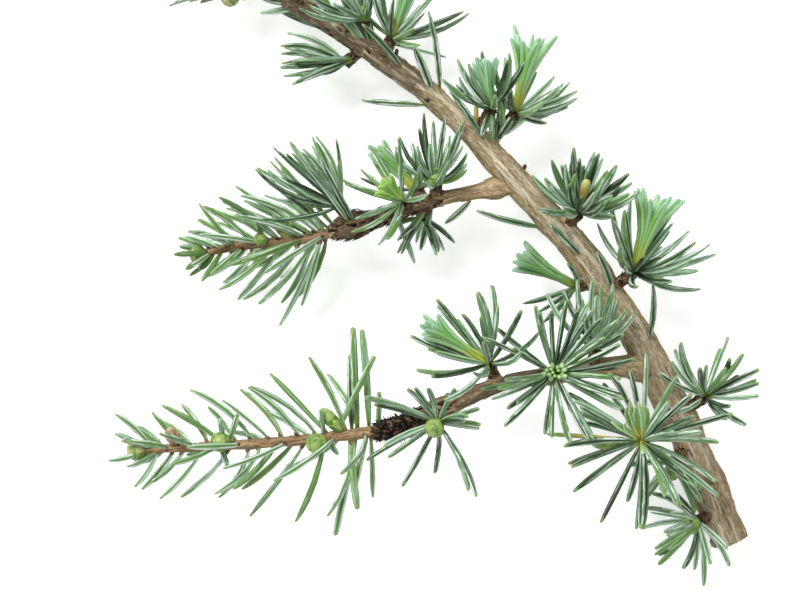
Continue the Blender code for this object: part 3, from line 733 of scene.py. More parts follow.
def seat_on(places, beside, seat, facing=None):
    """Where a limb passes a point of the picture: its centre, direction and radius, and the way out of it at
    a seat, in degrees up from level. The way out is on the side of facing, or else on the point's side."""
    height = min(places, key=lambda place: (place[0].xy - Vector(beside)).length)[0].z
    point = Vector((*beside, height))
    centre, line, radius = nearest_place(places, point)
    flank = Vector((-line.y, line.x, 0.0)).normalized()
    if flank.dot(point - centre if facing is None else facing) < 0:
        flank.negate()
    return centre, line, radius, swing(flank, UP, math.radians(seat))


def place_lone_needles(limbs, space):
    """Puts each lone needle on the bark, just clear of it."""
    needles = []
    for i, lone in enumerate(LONE_NEEDLES):
        along = heading(lone.bearing, lone.rise)
        centre, _, radius, out = seat_on(limbs[lone.limb], lone.place, lone.seat, along)
        root = centre + out * (radius + CLEARANCE + NEEDLE_WIDTH / 2)
        needle = bent_needle(root, along, lone.length, DOWN)
        needles.append(needle)
        space.add_needle(f"lone_needle_{i + 1}", needle)
    return needles


def spur_places(rosette, places):
    """A spur's line, from inside its limb to its heart, ending along the rosette's own direction."""
    heart = Vector(rosette.heart)
    foot, _, _ = nearest_place(places, heart)
    straight = heading(rosette.bearing, rosette.rise) * ((heart - foot).length * SPUR_BEND[1])
    bend = foot.lerp(heart - straight, SPUR_BEND[0])
    return [(foot, SPUR_RADIUS * SPUR_FOOT_FLARE), (bend, SPUR_RADIUS), (heart, SPUR_RADIUS)]


@dataclass
class Growth:
    """Everything that grows: the limbs' places, and each mass's needles."""

    limbs: dict
    shoots: dict
    lone: list
    on_shoots: dict
    on_rosettes: dict
    in_tufts: dict


# What grows between the part's own needles.
MORE_SEED = 500
MORE_BLADES = 5
MORE_ON_SHOOTS = {"upper_leafy_shoot": 5, "leader_leafy_shoot": 6}


@lru_cache
def growth():
    """Grows the branch as the part does, in the same order, and then the needles between."""
    limbs = {name: smooth_route(route) for name, route in LIMBS.items()}
    shoots = {shoot.name: smooth_route(shoot.route) for shoot in LEAFY_SHOOTS}
    space = Space()
    for name, places in {**limbs, **shoots}.items():
        space.add_limb(name, places)
    for rosette in ROSETTES:
        line = spur_places(rosette, limbs[rosette.limb])
        space.add(rosette.name, line[1][0], line[2][0], rosette.heart_radius)
    grown = Growth(limbs, shoots, place_lone_needles(limbs, space), {}, {}, {})
    for shoot in LEAFY_SHOOTS:
        needles = shoot_needles(shoot, shoots[shoot.name], space)
        grown.on_shoots[shoot.name] = needles
        for needle in needles:
            space.add_needle(shoot.name, needle)
    for rosette in ROSETTES:
        needles, chance = rosette_needles(rosette, space, rosette.count, rosette.seed)
        blades = tuft_needles(rosette, chance, space, rosette.tuft.count) if rosette.tuft else []
        grown.on_rosettes[rosette.name], grown.in_tufts[rosette.name] = needles, blades
        for needle in needles + blades:
            space.add_needle(rosette.name, needle)
    for shoot in LEAFY_SHOOTS:
        if shoot.name in MORE_ON_SHOOTS:
            more = replace(shoot, count=MORE_ON_SHOOTS[shoot.name], whorl=1, seed=shoot.seed + MORE_SEED)
            grown.on_shoots[shoot.name] += shoot_needles(more, shoots[shoot.name], space)
    more = bpy.context.scene.cedar_needles.more_old
    for rosette in ROSETTES:
        extra, _ = rosette_needles(rosette, space, round(rosette.count * more), rosette.seed + MORE_SEED)
        grown.on_rosettes[rosette.name] += extra
        if rosette.tuft:
            chance = random.Random(rosette.seed + MORE_SEED)
            grown.in_tufts[rosette.name] += tuft_needles(rosette, chance, space, MORE_BLADES)
    return grown


# Making and finishing pieces.


def grown_at():
    """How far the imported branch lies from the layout: its cut end is where the record's mount is."""
    mount = next(m for m in frame["record"]["mounts"] if m["name"] == "cut_end")
    return Vector(mount["pos_m"]) - Vector(MAIN_STEM[0][:3])


def finish_piece(name, mesh, materials, replaces=(), smooth=True):
    """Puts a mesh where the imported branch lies, with its materials, and fixes it to the branch."""
    mesh.transform(Matrix.Translation(grown_at()))
    for material in materials:
        mesh.materials.append(material)
    if smooth:
        mesh.shade_smooth()
    piece = bpy.data.objects.new(name, mesh)
    bpy.context.scene.collection.objects.link(piece)
    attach(piece, "root")
    if replaces:
        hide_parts(*replaces)
    return piece


def mesh_from(shape, name):
    mesh = bpy.data.meshes.new(name)
    shape.to_mesh(mesh)
    shape.free()
    return mesh


NEEDLE_STRETCH = 0.06  # a pattern's reach along a needle, so that it is drawn out
BARK_STRETCH = 0.17  # and along a limb


@dataclass
class Template:
    """A small shape to be set down many times: its points, and each face's corners and finish."""

    points: np.ndarray
    faces: list
    finishes: list


def template_from(shape):
    """Reads a template off a bmesh, and frees it."""
    shape.verts.index_update()
    bmesh.ops.recalc_face_normals(shape, faces=shape.faces)
    points = np.array([vertex.co for vertex in shape.verts])
    faces = [[vertex.index for vertex in face.verts] for face in shape.faces]
    finishes = [face.material_index for face in shape.faces]
    shape.free()
    return Template(points, faces, finishes)


class Spray:
    """Many small shapes gathered into one mesh, each with its finishes dealt out. Each point keeps its place
    on its own small shape as the attribute grain, so that streaks run along every one of them, and how far
    along that shape it is as share."""

    def __init__(self, seed):
        self.chance = random.Random(seed)
        self.points, self.grains, self.shares = [], [], []
        self.faces, self.finishes = [], []
        self.total = 0

    def add(self, template, points, dealt, size, shares=None):
        """Sets a template down at these points. dealt gives a material index for each of its finishes, size
        is its width, thickness and length, and shares takes the place of the template's own."""
        offset = [self.chance.uniform(-0.5, 0.5) for _ in range(3)]
        self.points.append(points)
        self.grains.append(template.points * size * (1.0, 1.0, NEEDLE_STRETCH) + offset)
        self.shares.append(template.points[:, 2] if shares is None else shares)
        self.faces += [[self.total + corner for corner in face] for face in template.faces]
        self.finishes += [dealt[finish] for finish in template.finishes]
        self.total += len(points)

    def mesh(self, name):
        mesh = bpy.data.meshes.new(name)
        mesh.from_pydata(np.concatenate(self.points).tolist(), [], self.faces)
        mesh.polygons.foreach_set("material_index", self.finishes)
        grain = mesh.attributes.new("grain", "FLOAT_VECTOR", "POINT")
        grain.data.foreach_set("vector", np.concatenate(self.grains).ravel())
        share = mesh.attributes.new("share", "FLOAT", "POINT")
        share.data.foreach_set("value", np.concatenate(self.shares))
        mesh.update()
        return mesh


LEAST_CROSS = 1e-6  # below this, two directions count as one


def across(line, up_hint):
    """Two unit vectors square to a line, the second as near as can be to up_hint."""
    side = line.cross(up_hint)
    if side.length < LEAST_CROSS:
        side = line.orthogonal()
    side.normalize()
    return side, side.cross(line).normalized()


# Shaders.


def new_group(name, inputs, outputs):
    """A shader node group with named inputs, (name, kind, default), and outputs, (name, kind)."""
    group = bpy.data.node_groups.new(name, "ShaderNodeTree")
    for label, kind, default in inputs:
        socket = group.interface.new_socket(label, in_out="INPUT", socket_type=kind)
        socket.default_value = default
    for label, kind in outputs:
        group.interface.new_socket(label, in_out="OUTPUT", socket_type=kind)
    return group, group.nodes.new("NodeGroupInput"), group.nodes.new("NodeGroupOutput")


def feed(tree, value, socket):
    """Gives a socket its value, which may be what another node gives out."""
    if isinstance(value, bpy.types.NodeSocket):
        tree.links.new(value, socket)
    else:
        socket.default_value = value


def add_noise(tree, vector, scale, detail=3.0, roughness=0.5):
    node = tree.nodes.new("ShaderNodeTexNoise")
    node.inputs["Scale"].default_value = scale
    node.inputs["Detail"].default_value = detail
    node.inputs["Roughness"].default_value = roughness
    tree.links.new(vector, node.inputs["Vector"])
    return node.outputs["Fac"]


def add_ramp(tree, value, low, high):
    """A value spread from low to high over 0 to 1."""
    node = tree.nodes.new("ShaderNodeMapRange")
    node.interpolation_type = "SMOOTHSTEP"
    node.inputs["From Min"].default_value = low
    node.inputs["From Max"].default_value = high
    tree.links.new(value, node.inputs["Value"])
    return node.outputs["Result"]


def add_mix(tree, share, first, second):
    """Mixes two colours by a share. Each may be a socket, or a plain colour."""
    node = tree.nodes.new("ShaderNodeMix")
    node.data_type = "RGBA"
    tree.links.new(share, node.inputs["Factor"])
    for value, socket in ((first, node.inputs["A"]), (second, node.inputs["B"])):
        feed(tree, value if isinstance(value, bpy.types.NodeSocket) else (*value, 1.0), socket)
    return node.outputs["Result"]


def add_math(tree, operation, *values):
    node = tree.nodes.new("ShaderNodeMath")
    node.operation = operation
    for value, socket in zip(values, node.inputs):
        feed(tree, value, socket)
    return node.outputs["Value"]


def add_vector_math(tree, operation, *values):
    node = tree.nodes.new("ShaderNodeVectorMath")
    node.operation = operation
    for value, socket in zip(values, node.inputs):
        feed(tree, value, socket)
    return node


def add_mask(tree, value, low, high, strength):
    """A value spread from low to high over 0 to 1, times a strength."""
    return add_math(tree, "MULTIPLY", add_ramp(tree, value, low, high), strength)


def add_most(tree, *values):
    """The greatest of some values."""
    most = values[0]
    for value in values[1:]:
        most = add_math(tree, "MAXIMUM", most, value)
    return most


CRACK_DRAWN = (1.0, 1.0, 0.3)  # plates of dry bark are longer than wide


def add_cracks(tree, vector, scale, width):
    """1 in the crooked cracks between the plates of dry bark, and 0 on the plates."""
    stray = tree.nodes.new("ShaderNodeTexNoise")
    stray.inputs["Scale"].default_value = 2 * scale
    tree.links.new(vector, stray.inputs["Vector"])
    drawn = add_vector_math(tree, "MULTIPLY", vector, CRACK_DRAWN)
    one_plate = [1.0 / scale] * 3
    moved = add_vector_math(tree, "MULTIPLY_ADD", stray.outputs["Color"], one_plate, drawn.outputs["Vector"])
    plates = tree.nodes.new("ShaderNodeTexVoronoi")
    plates.feature = "DISTANCE_TO_EDGE"
    plates.inputs["Scale"].default_value = scale
    tree.links.new(moved.outputs["Vector"], plates.inputs["Vector"])
    return add_ramp(tree, plates.outputs["Distance"], width, 0.0)


OLIVE_FROM = [BARK_STRETCH * along for along in (0.088, 0.108)]  # where the main stem's bark turns olive
# The bark's patterns, in cycles to the metre.
STREAKS, THREADS, PATCHES, CLOUDS, CRACKS = 1700.0, 5000.0, 380.0, 800.0, 1200.0
CRACK_WIDTH = 0.09  # as a share of a plate
BARK_ROUGHNESS = (0.3, 0.55)  # how much its streaks add to it, and the least


@lru_cache
def bark_group():
    """Bark that runs lengthwise: pale worn threads, with a painted highlight that makes them palest on the
    ridges, tan between, dark furrows, partly painted shade in the low relief, and patches with a green cast.
    The top has a painted highlight, the flanks and underside are painted shade, darker and greener, and
    the bark turns olive towards the leader."""
    colour = "NodeSocketColor"
    group, start, end = new_group(
        "lengthwise_bark",
        [
            ("Vector", "NodeSocketVector", (0.0, 0.0, 0.0)),
            ("Pale", colour, (0.6, 0.5, 0.35, 1.0)),
            ("Tan", colour, (0.35, 0.25, 0.15, 1.0)),
            ("Shade", colour, (0.1, 0.08, 0.04, 1.0)),
            ("Olive and shade", colour, (0.2, 0.19, 0.1, 1.0)),
            ("Relief", "NodeSocketFloat", 0.5),
            ("Top", "NodeSocketFloat", 1.0),
        ],
        [("Color", colour), ("Roughness", "NodeSocketFloat"), ("Height", "NodeSocketFloat")],
    )
    pale, tan, shade, olive_and_shade = (start.outputs[name] for name in ("Pale", "Tan", "Shade", "Olive and shade"))
    vector, relief, top = (start.outputs[name] for name in ("Vector", "Relief", "Top"))
    streaks = add_noise(group, vector, STREAKS, 4.0, 0.62)
    threads = add_noise(group, vector, THREADS, 3.0, 0.6)
    patches = add_noise(group, vector, PATCHES, 3.0, 0.6)
    clouds = add_noise(group, vector, CLOUDS, 2.0, 0.5)
    cracks = add_mask(group, clouds, 0.36, 0.52, add_cracks(group, vector, CRACKS, CRACK_WIDTH))
    # Green and olive casts, with painted shade in the olive colour on the flanks,
    # then pale patches as a painted highlight on top.
    place = group.nodes.new("ShaderNodeSeparateXYZ")
    group.links.new(vector, place.inputs["Vector"])
    # Painted shade: the flanks, which face less up, turn darker towards the olive colour.
    flank = add_mask(group, top, 0.94, 0.70, 0.85)
    upper = add_mask(group, place.outputs["Z"], *OLIVE_FROM, 0.5)
    green = add_most(group, add_ramp(group, patches, 0.5, 0.66), flank, upper)
    base = add_mix(group, green, tan, olive_and_shade)
    # Painted highlight: pale patches only where the bark faces up.
    painted_top_highlight = add_mask(group, clouds, 0.44, 0.60, add_ramp(group, top, 0.80, 0.97))
    base = add_mix(group, add_math(group, "MULTIPLY", painted_top_highlight, 0.75), base, pale)
    # Furrows, partly painted shade in the low relief, and the painted shade below.
    furrow = add_most(
        group,
        # painted shade in the low relief, and the darker bark where it is lowered
        add_ramp(group, relief, 0.44, 0.18),
        add_ramp(group, streaks, 0.43, 0.33),
        # painted shade where the bark faces down
        add_mask(group, top, 0.80, 0.4, 0.75),
        add_math(group, "MULTIPLY", cracks, 0.6),
        add_mask(group, threads, 0.44, 0.34, 0.5),
    )
    base = add_mix(group, add_math(group, "MULTIPLY", furrow, 0.85), base, shade)
    # Worn threads, with a painted highlight that makes them palest on the ridges.
    # painted highlight on the ridges
    ridge = add_mask(group, relief, 0.52, 0.85, 0.8)
    worn_threads_and_ridge_highlight = add_mask(group, threads, 0.46, 0.62, ridge)
    worn_threads_and_ridge_highlight = add_most(group, worn_threads_and_ridge_highlight, add_mask(group, threads, 0.53, 0.63, 0.65))
    thread = add_mix(group, add_ramp(group, relief, -0.1, 0.5), olive_and_shade, pale)
    group.links.new(add_mix(group, worn_threads_and_ridge_highlight, base, thread), end.inputs["Color"])
    group.links.new(add_math(group, "MULTIPLY_ADD", streaks, *BARK_ROUGHNESS), end.inputs["Roughness"])
    height = add_math(group, "SUBTRACT", add_math(group, "ADD", streaks, threads), cracks)
    group.links.new(height, end.inputs["Height"])
    return group


WAX_ROWS, WAX_CLOUDS = 4300.0, 1000.0  # in cycles to the metre
SKIN_ROUGHNESS = (0.25, 0.3)  # how much the wax adds to it, and the least


@lru_cache
def waxy_group():
    """A needle's skin: fine lengthwise rows of wax over the green, thicker in some places than in others."""
    colour = "NodeSocketColor"
    group, start, end = new_group(
        "waxy_skin",
        [
            ("Vector", "NodeSocketVector", (0.0, 0.0, 0.0)),
            ("Skin", colour, (0.2, 0.4, 0.3, 1.0)),
            ("Wax", colour, (0.5, 0.6, 0.5, 1.0)),
            ("Rows", "NodeSocketFloat", 0.5),
        ],
        [("Color", colour), ("Roughness", "NodeSocketFloat"), ("Height", "NodeSocketFloat")],
    )
    vector = start.outputs["Vector"]
    rows = add_noise(group, vector, WAX_ROWS, 3.0, 0.65)
    clouds = add_noise(group, vector, WAX_CLOUDS, 1.0, 0.5)
    strength = add_mask(group, clouds, 0.32, 0.58, start.outputs["Rows"])
    share = add_mask(group, rows, 0.44, 0.54, strength)
    group.links.new(add_mix(group, share, start.outputs["Skin"], start.outputs["Wax"]), end.inputs["Color"])
    group.links.new(add_math(group, "MULTIPLY_ADD", share, *SKIN_ROUGHNESS), end.inputs["Roughness"])
    group.links.new(rows, end.inputs["Height"])
    return group


def new_material(name):
    material = bpy.data.materials.new(name)
    material.use_nodes = True
    return material, material.node_tree, material.node_tree.nodes["Principled BSDF"]


def add_bump(tree, shader, height, strength, distance):
    bump = tree.nodes.new("ShaderNodeBump")
    bump.inputs["Strength"].default_value = strength
    bump.inputs["Distance"].default_value = distance
    tree.links.new(height, bump.inputs["Height"])
    tree.links.new(bump.outputs["Normal"], shader.inputs["Normal"])


def add_attribute(tree, name, output="Fac"):
    """What a mesh keeps at its points under a name."""
    node = tree.nodes.new("ShaderNodeAttribute")
    node.attribute_name = name
    return node.outputs[output]


def place_group(tree, shader, group, values):
    """Puts a group in a material with its own values. It reads the piece's own lengthwise coordinates, and
    what it gives is joined to the shader."""
    node = tree.nodes.new("ShaderNodeGroup")
    node.node_tree = group
    for label, value in values.items():
        node.inputs[label].default_value = value if isinstance(value, float) else (*value, 1.0)
    tree.links.new(add_attribute(tree, "grain", "Vector"), node.inputs["Vector"])
    tree.links.new(node.outputs["Color"], shader.inputs["Base Color"])
    tree.links.new(node.outputs["Roughness"], shader.inputs["Roughness"])
    return node


SKIN_RELIEF, SKIN_DEPTH = 0.35, 0.00006  # how strong a skin's fine relief is, and how deep
BARK_RELIEF, BARK_DEPTH = 0.8, 0.00018  # and the bark's


def waxy_material(name, skin, wax, rows=0.8, sheen=0.5, ends=None, relief=SKIN_RELIEF):
    """Skin of a needle, bud or scale. ends gives the colours of its foot and its tip, and the shares of its
    length where the one ends and the other starts."""
    material, tree, shader = new_material(name)
    node = place_group(tree, shader, waxy_group(), {"Skin": skin, "Wax": wax, "Rows": rows})
    if ends:
        foot, tip, foot_to, tip_from = ends
        share = add_attribute(tree, "share")
        colour = add_mix(tree, add_ramp(tree, share, tip_from, 1.0), node.outputs["Color"], tip)
        colour = add_mix(tree, add_ramp(tree, share, foot_to, 0.0), colour, foot)
        tree.links.new(colour, shader.inputs["Base Color"])
    add_bump(tree, shader, node.outputs["Height"], relief, SKIN_DEPTH)
    shader.inputs["Specular IOR Level"].default_value = sheen
    return material


def bark_material(name, pale, tan, shade, olive_and_shade):
    """Bark that reads the piece's own relief, and how far it faces up, for its painted highlight and shade.
    """
    material, tree, shader = new_material(name)
    node = place_group(tree, shader, bark_group(), {"Pale": pale, "Tan": tan, "Shade": shade, "Olive and shade": olive_and_shade})
    tree.links.new(add_attribute(tree, "relief"), node.inputs["Relief"])
    tree.links.new(add_attribute(tree, "top"), node.inputs["Top"])
    add_bump(tree, shader, node.outputs["Height"], BARK_RELIEF, BARK_DEPTH)
    return material


# Limbs with their bark.

FOOT_SWELL = 0.42  # how much wider a twig is where it leaves the stem
FOOT_AT, FOOT_OUT, FOOT_IN = 0.0030, 0.0030, 0.0013  # how far along that is, and its reach each way
SHOOT_SLIMNESS = 0.86  # how thick a leafy shoot's bark leaves it, by its solid
LUMPS = 0.16  # how far a limb's lumps stand out, by its radius
LUMPS_ALONG, LUMPS_ROUND = 210.0, 1.2  # how close they follow along it, and round it
# Furrows, coarse and fine: (share of their depth, cycles to the metre across, and along).
FURROWS = ((0.8, 1000, 150), (0.55, 2600, 420))
CUSHION_WIDTH, CUSHION_FALL = 0.00045, 0.8  # how wide a leaf scar's ridge is, and how it sinks along it
STEM_CUSHION_REACH = 0.0080
# The twigs' bark beside the stem's: furrows, ridges, and the gap between the scars and their ridges' reach.
TWIG_FURROWS, TWIG_CUSHIONS, TWIG_SCARS = 0.8, 0.7, (0.0013, 0.005)
# The newest bark: how many sides fewer, furrows, ridges, gap and reach.
SHOOT_SIDES_FEWER, SHOOT_RELIEF = 16, (0.00008, 0.00016, 0.0010, 0.0042)
SHOOT_SINK = 0.0012  # how deep a leafy shoot's bark starts in the limb that it ends


@dataclass
class Bark:
    """How a limb's bark is made."""

    sides: int
    furrow: float
    cushion: float
    cushion_gap: float
    cushion_reach: float
    seed: float


def resample(places, gap):
    """Centres, directions and radii at even gaps along a limb."""
    total = sum((b[0] - a[0]).length for a, b in zip(places, places[1:]))
    count = max(int(total / gap), 2)
    return [place_along(places, k / count) for k in range(count + 1)], total


def bark_relief(bark, along, turns, radius):
    """How far the bark stands out or in at each point of a ring: furrows, and ridges below leaf scars."""
    relief = np.empty(len(turns))
    for i, turn in enumerate(turns):
        x, y = math.cos(turn) * radius, math.sin(turn) * radius
        waves = (
            share * noise.noise(Vector((x * over, y * over, along * lengthwise + bark.seed)))
            for share, over, lengthwise in FURROWS
        )
        relief[i] = bark.furrow * sum(waves)
    first = math.floor(along / bark.cushion_gap)
    for k in range(first, first + math.ceil(bark.cushion_reach / bark.cushion_gap) + 1):
        below = k * bark.cushion_gap - along
        if below < 0:
            continue
        fade = max(1.0 - below / bark.cushion_reach, 0.0)
        apart = np.abs((turns - scar_turn(bark, k) + math.pi) % (2 * math.pi) - math.pi) * radius
        width = CUSHION_WIDTH * (0.5 + 0.5 * fade)
        relief += bark.cushion * fade**CUSHION_FALL * np.exp(-((apart / width) ** 2))
    return relief


def scar_turn(bark, k):
    """Where round a limb its k-th leaf scar is."""
    return math.radians(k * GOLDEN_ANGLE) + bark.seed


def first_ring(shape, sides, radius=1.0):
    """Starts a tube, and returns its first ring's points and edges."""
    bmesh.ops.create_circle(shape, segments=sides, radius=radius)
    return list(shape.verts), list(shape.edges)


def next_ring(shape, ring, edges):
    """Draws a tube on by one ring, and returns its points, in the old ring's order, and its edges."""
    grown = bmesh.ops.extrude_edge_only(shape, edges=edges)["geom"]
    older = set(ring)
    follower = {}
    for vertex in (piece for piece in grown if isinstance(piece, bmesh.types.BMVert)):
        source = next(e.other_vert(vertex) for e in vertex.link_edges if e.other_vert(vertex) in older)
        follower[source] = vertex
    ring = [follower[vertex] for vertex in ring]
    newer = set(ring)
    edges = [g for g in grown if isinstance(g, bmesh.types.BMEdge) and newer.issuperset(g.verts)]
    return ring, edges


def close_tube(shape):
    """Fills the two open ends of a tube."""
    open_edges = [edge for edge in shape.edges if edge.is_boundary]
    bmesh.ops.holes_fill(shape, edges=open_edges, sides=len(open_edges))
    bmesh.ops.recalc_face_normals(shape, faces=shape.faces)


def darker_bark_and_shade(name, share):
    """How much darker than the rest the bark is at a place along a limb. Near the stem's cut end this is
    partly painted shade.
    """
    found = 0.0
    for limb, start, end, _, dark in DARKER_BARK_AND_SHADE:
        if limb == name:
            found = max(found, dark * min((share - start) / KNOB_FADE, (end - share) / KNOB_FADE, 1.0))
    return found


def grow_limb(name, places, bark, gap, swell=0.0):
    """A limb as rings drawn on from its foot, each ring moved out and in by the bark's relief. Its points
    keep the limb's own lengthwise coordinates as the attribute grain, how far they stand out, less how much
    darker the bark is there, as relief, and how far they face up as top. The bark's painted highlight and
    shade are drawn from relief and top."""
    rings, total = resample(places, gap)
    turns = np.arange(bark.sides) / bark.sides * 2 * math.pi
    shape = bmesh.new()
    grain_layer = shape.verts.layers.float_vector.new("grain")
    relief_layer = shape.verts.layers.float.new("relief")
    top_layer = shape.verts.layers.float.new("top")
    ring, edges = first_ring(shape, bark.sides)
    up = UP
    for k, (centre, line, radius) in enumerate(rings):
        if k:
            ring, edges = next_ring(shape, ring, edges)
        side, up = across(line, up)
        along = total * k / (len(rings) - 1)
        reach = FOOT_OUT if along > FOOT_AT else FOOT_IN
        radius *= 1 + swell * math.exp(-(((along - FOOT_AT) / reach) ** 2))
        relief = bark_relief(bark, along, turns, radius)
        dark = darker_bark_and_shade(name, along / total)
        for vertex, turn, out in zip(ring, turns, relief):
            away = swing(side, up, turn)
            lump = noise.noise(away * LUMPS_ROUND + Vector((bark.seed, 0.0, along * LUMPS_ALONG)))
            vertex.co = centre + away * (radius * (1 + LUMPS * lump) + out)
            x, y = math.cos(turn) * radius, math.sin(turn) * radius
            vertex[grain_layer] = Vector((x, y, along * BARK_STRETCH))
            # relief and top set the bark's painted shade in the furrows and below, and its painted highlight
            # on the ridges and top
            vertex[relief_layer] = 0.5 - dark + out / (2.0 * (bark.furrow + bark.cushion))
            vertex[top_layer] = (away.z + 1) / 2
    close_tube(shape)
    return mesh_from(shape, name)


class CEDAR_OT_bark(bpy.types.Operator):
    """Grows the stem, the twigs and the leafy shoots' twigs, with furrows and leaf scars in their bark"""

    bl_idname = "cedar.bark"
    bl_label = "Stem and twigs"

    def execute(self, context):
        look = context.scene.cedar_bark
        grown = growth()
        stem = bark_material("stem_bark", look.stem_pale, look.stem_tan, look.stem_shade, look.stem_moss)
        twig = bark_material("twig_bark", look.twig_pale, look.twig_tan, look.twig_shade, look.twig_moss)
        furrow, cushion = look.furrow_depth, look.cushion_height
        on_stem = Bark(look.stem_sides, furrow, cushion, look.cushion_gap, STEM_CUSHION_REACH, 1.0)
        on_twig = Bark(look.twig_sides, furrow * TWIG_FURROWS, cushion * TWIG_CUSHIONS, *TWIG_SCARS, 5.0)
        for name, bark, material, slot, swell in (
            ("main_stem", on_stem, stem, "bark", 0.0),
            ("lower_twig", on_twig, twig, "twig_bark", FOOT_SWELL),
            ("upper_twig", replace(on_twig, seed=9.0), twig, "twig_bark", FOOT_SWELL),
        ):
            mesh = grow_limb(name, grown.limbs[name], bark, look.ring_gap, swell)
            finish_piece(name + "_bark", mesh, [material], [name])
        newest = bark_material("shoot_bark", look.twig_tan, look.shoot_tan, look.twig_shade, look.twig_moss)
        for k, shoot in enumerate(LEAFY_SHOOTS):
            places = [(centre, SHOOT_SLIMNESS * radius) for centre, radius in grown.shoots[shoot.name]]
            first, second = places[0], places[1]
            sunk = (first[0] - (second[0] - first[0]).normalized() * SHOOT_SINK, first[1])
            bark = Bark(look.twig_sides - SHOOT_SIDES_FEWER, *SHOOT_RELIEF, 20.0 + 3 * k)
            mesh = grow_limb(shoot.name, [sunk, *places], bark, look.ring_gap)
            finish_piece(shoot.name + "_twig", mesh, [newest], [shoot.name])
        return {"FINISHED"}


# Spurs.

SPUR_STEP = 0.00018  # the gap between a spur's rings of points
SPUR_RING_GAP = 0.0007  # how far apart the years' scars are
SPUR_SIDES = 20
SPUR_FLARE, SPUR_FLARE_REACH = 0.6, 0.0010  # how much wider a level spur is where it leaves its limb
SPUR_COLLAR, SPUR_COLLAR_REACH = 0.2, 0.0016  # and round its heart
SPUR_SLIM = 0.68  # how thick it is between them
SPUR_YEAR, SPUR_ROUGH = 0.08, 0.26  # how far each year's ring stands out, and its lumps
SPUR_LUMPS_ROUND, SPUR_LUMPS_ALONG = 2, 1900  # how close the lumps follow
SPUR_SUNK = 0.8  # where it leaves its limb, by the limb's radius


def grow_spur(rosette, places):
    """A short spur as a stack of rings, one for each year's scales, with a wider collar round its heart."""
    rings, total = resample(spur_places(rosette, places), SPUR_STEP)
    surface = SPUR_SUNK * nearest_place(places, Vector(rosette.heart))[2]
    shape = bmesh.new()
    ring, edges = first_ring(shape, SPUR_SIDES)
    up = UP
    for k, (centre, direction, radius) in enumerate(rings):
        if k:
            ring, edges = next_ring(shape, ring, edges)
        side, up = across(direction, up)
        along = total * k / (len(rings) - 1)
        year = SPUR_YEAR * abs((along / SPUR_RING_GAP) % 1.0 - 0.5) * 2
        collar = SPUR_COLLAR * math.exp(-(((total - along) / SPUR_COLLAR_REACH) ** 2))
        flare = math.exp(-(((along - surface) / SPUR_FLARE_REACH) ** 2))
        flare *= SPUR_FLARE * (1 - abs(direction.z)) ** 2
        for i, vertex in enumerate(ring):
            turn = 2 * math.pi * i / SPUR_SIDES
            x, y = math.cos(turn) * SPUR_LUMPS_ROUND, math.sin(turn) * SPUR_LUMPS_ROUND
            lump = noise.noise(Vector((x, y, along * SPUR_LUMPS_ALONG + rosette.seed)))
            away = swing(side, up, turn)
            vertex.co = centre + away * (radius * (SPUR_SLIM + collar + flare + year + SPUR_ROUGH * lump))
    close_tube(shape)
    return shape


class CEDAR_OT_spurs(bpy.types.Operator):
    """Grows the short ringed spurs that the rosettes stand on"""

    bl_idname = "cedar.spurs"
    bl_label = "Spurs"

    def execute(self, context):
        look, buds = context.scene.cedar_bark, context.scene.cedar_buds
        grown = growth()
        spray = Spray(61)
        for rosette in ROSETTES:
            template = template_from(grow_spur(rosette, grown.limbs[rosette.limb]))
            rings = np.arange(len(template.points)) // SPUR_SIDES
            spray.add(template, template.points, [0], np.ones(3), rings / rings[-1])
        ends = (look.twig_tan, buds.scale_dark, 0.6, 0.6)
        material = waxy_material("spur_bark", buds.scale_brown, look.stem_tan, 1.0, 0.2, ends, 1.0)
        finish_piece("spurs", spray.mesh("spurs"), [material])
        return {"FINISHED"}


# Needles.

# A needle's outline: (share of its length, share of its full width). NEEDLE_END is its last ring.
BLUNT = (
    (0.0, 0.42), (0.06, 0.56), (0.20, 0.84), (0.45, 0.98),
    (0.70, 1.0), (0.86, 0.93), (0.94, 0.76), (0.978, 0.5),
)
LANCE = (
    (0.0, 0.38), (0.06, 0.52), (0.19, 0.84), (0.40, 1.0),
    (0.62, 0.98), (0.79, 0.83), (0.90, 0.60), (0.965, 0.34),
)
LONG_LANCE = (
    (0.0, 0.36), (0.07, 0.5), (0.24, 0.78), (0.5, 0.97),
    (0.72, 1.0), (0.86, 0.84), (0.94, 0.58), (0.98, 0.34),
)
NEEDLE_END = (0.994, 0.16)
NEEDLE_RIDGE_SHARE = 26.0  # per cent of a side that each corner's green ridge takes
BAND, RIDGE, END, HALF, FOLD = range(5)
SAME_PLACE = 1e-5  # how near two points of a template are to be joined
LEAST_ALONG = 1e-4  # how far an edge of a template reaches along it to count as lengthwise


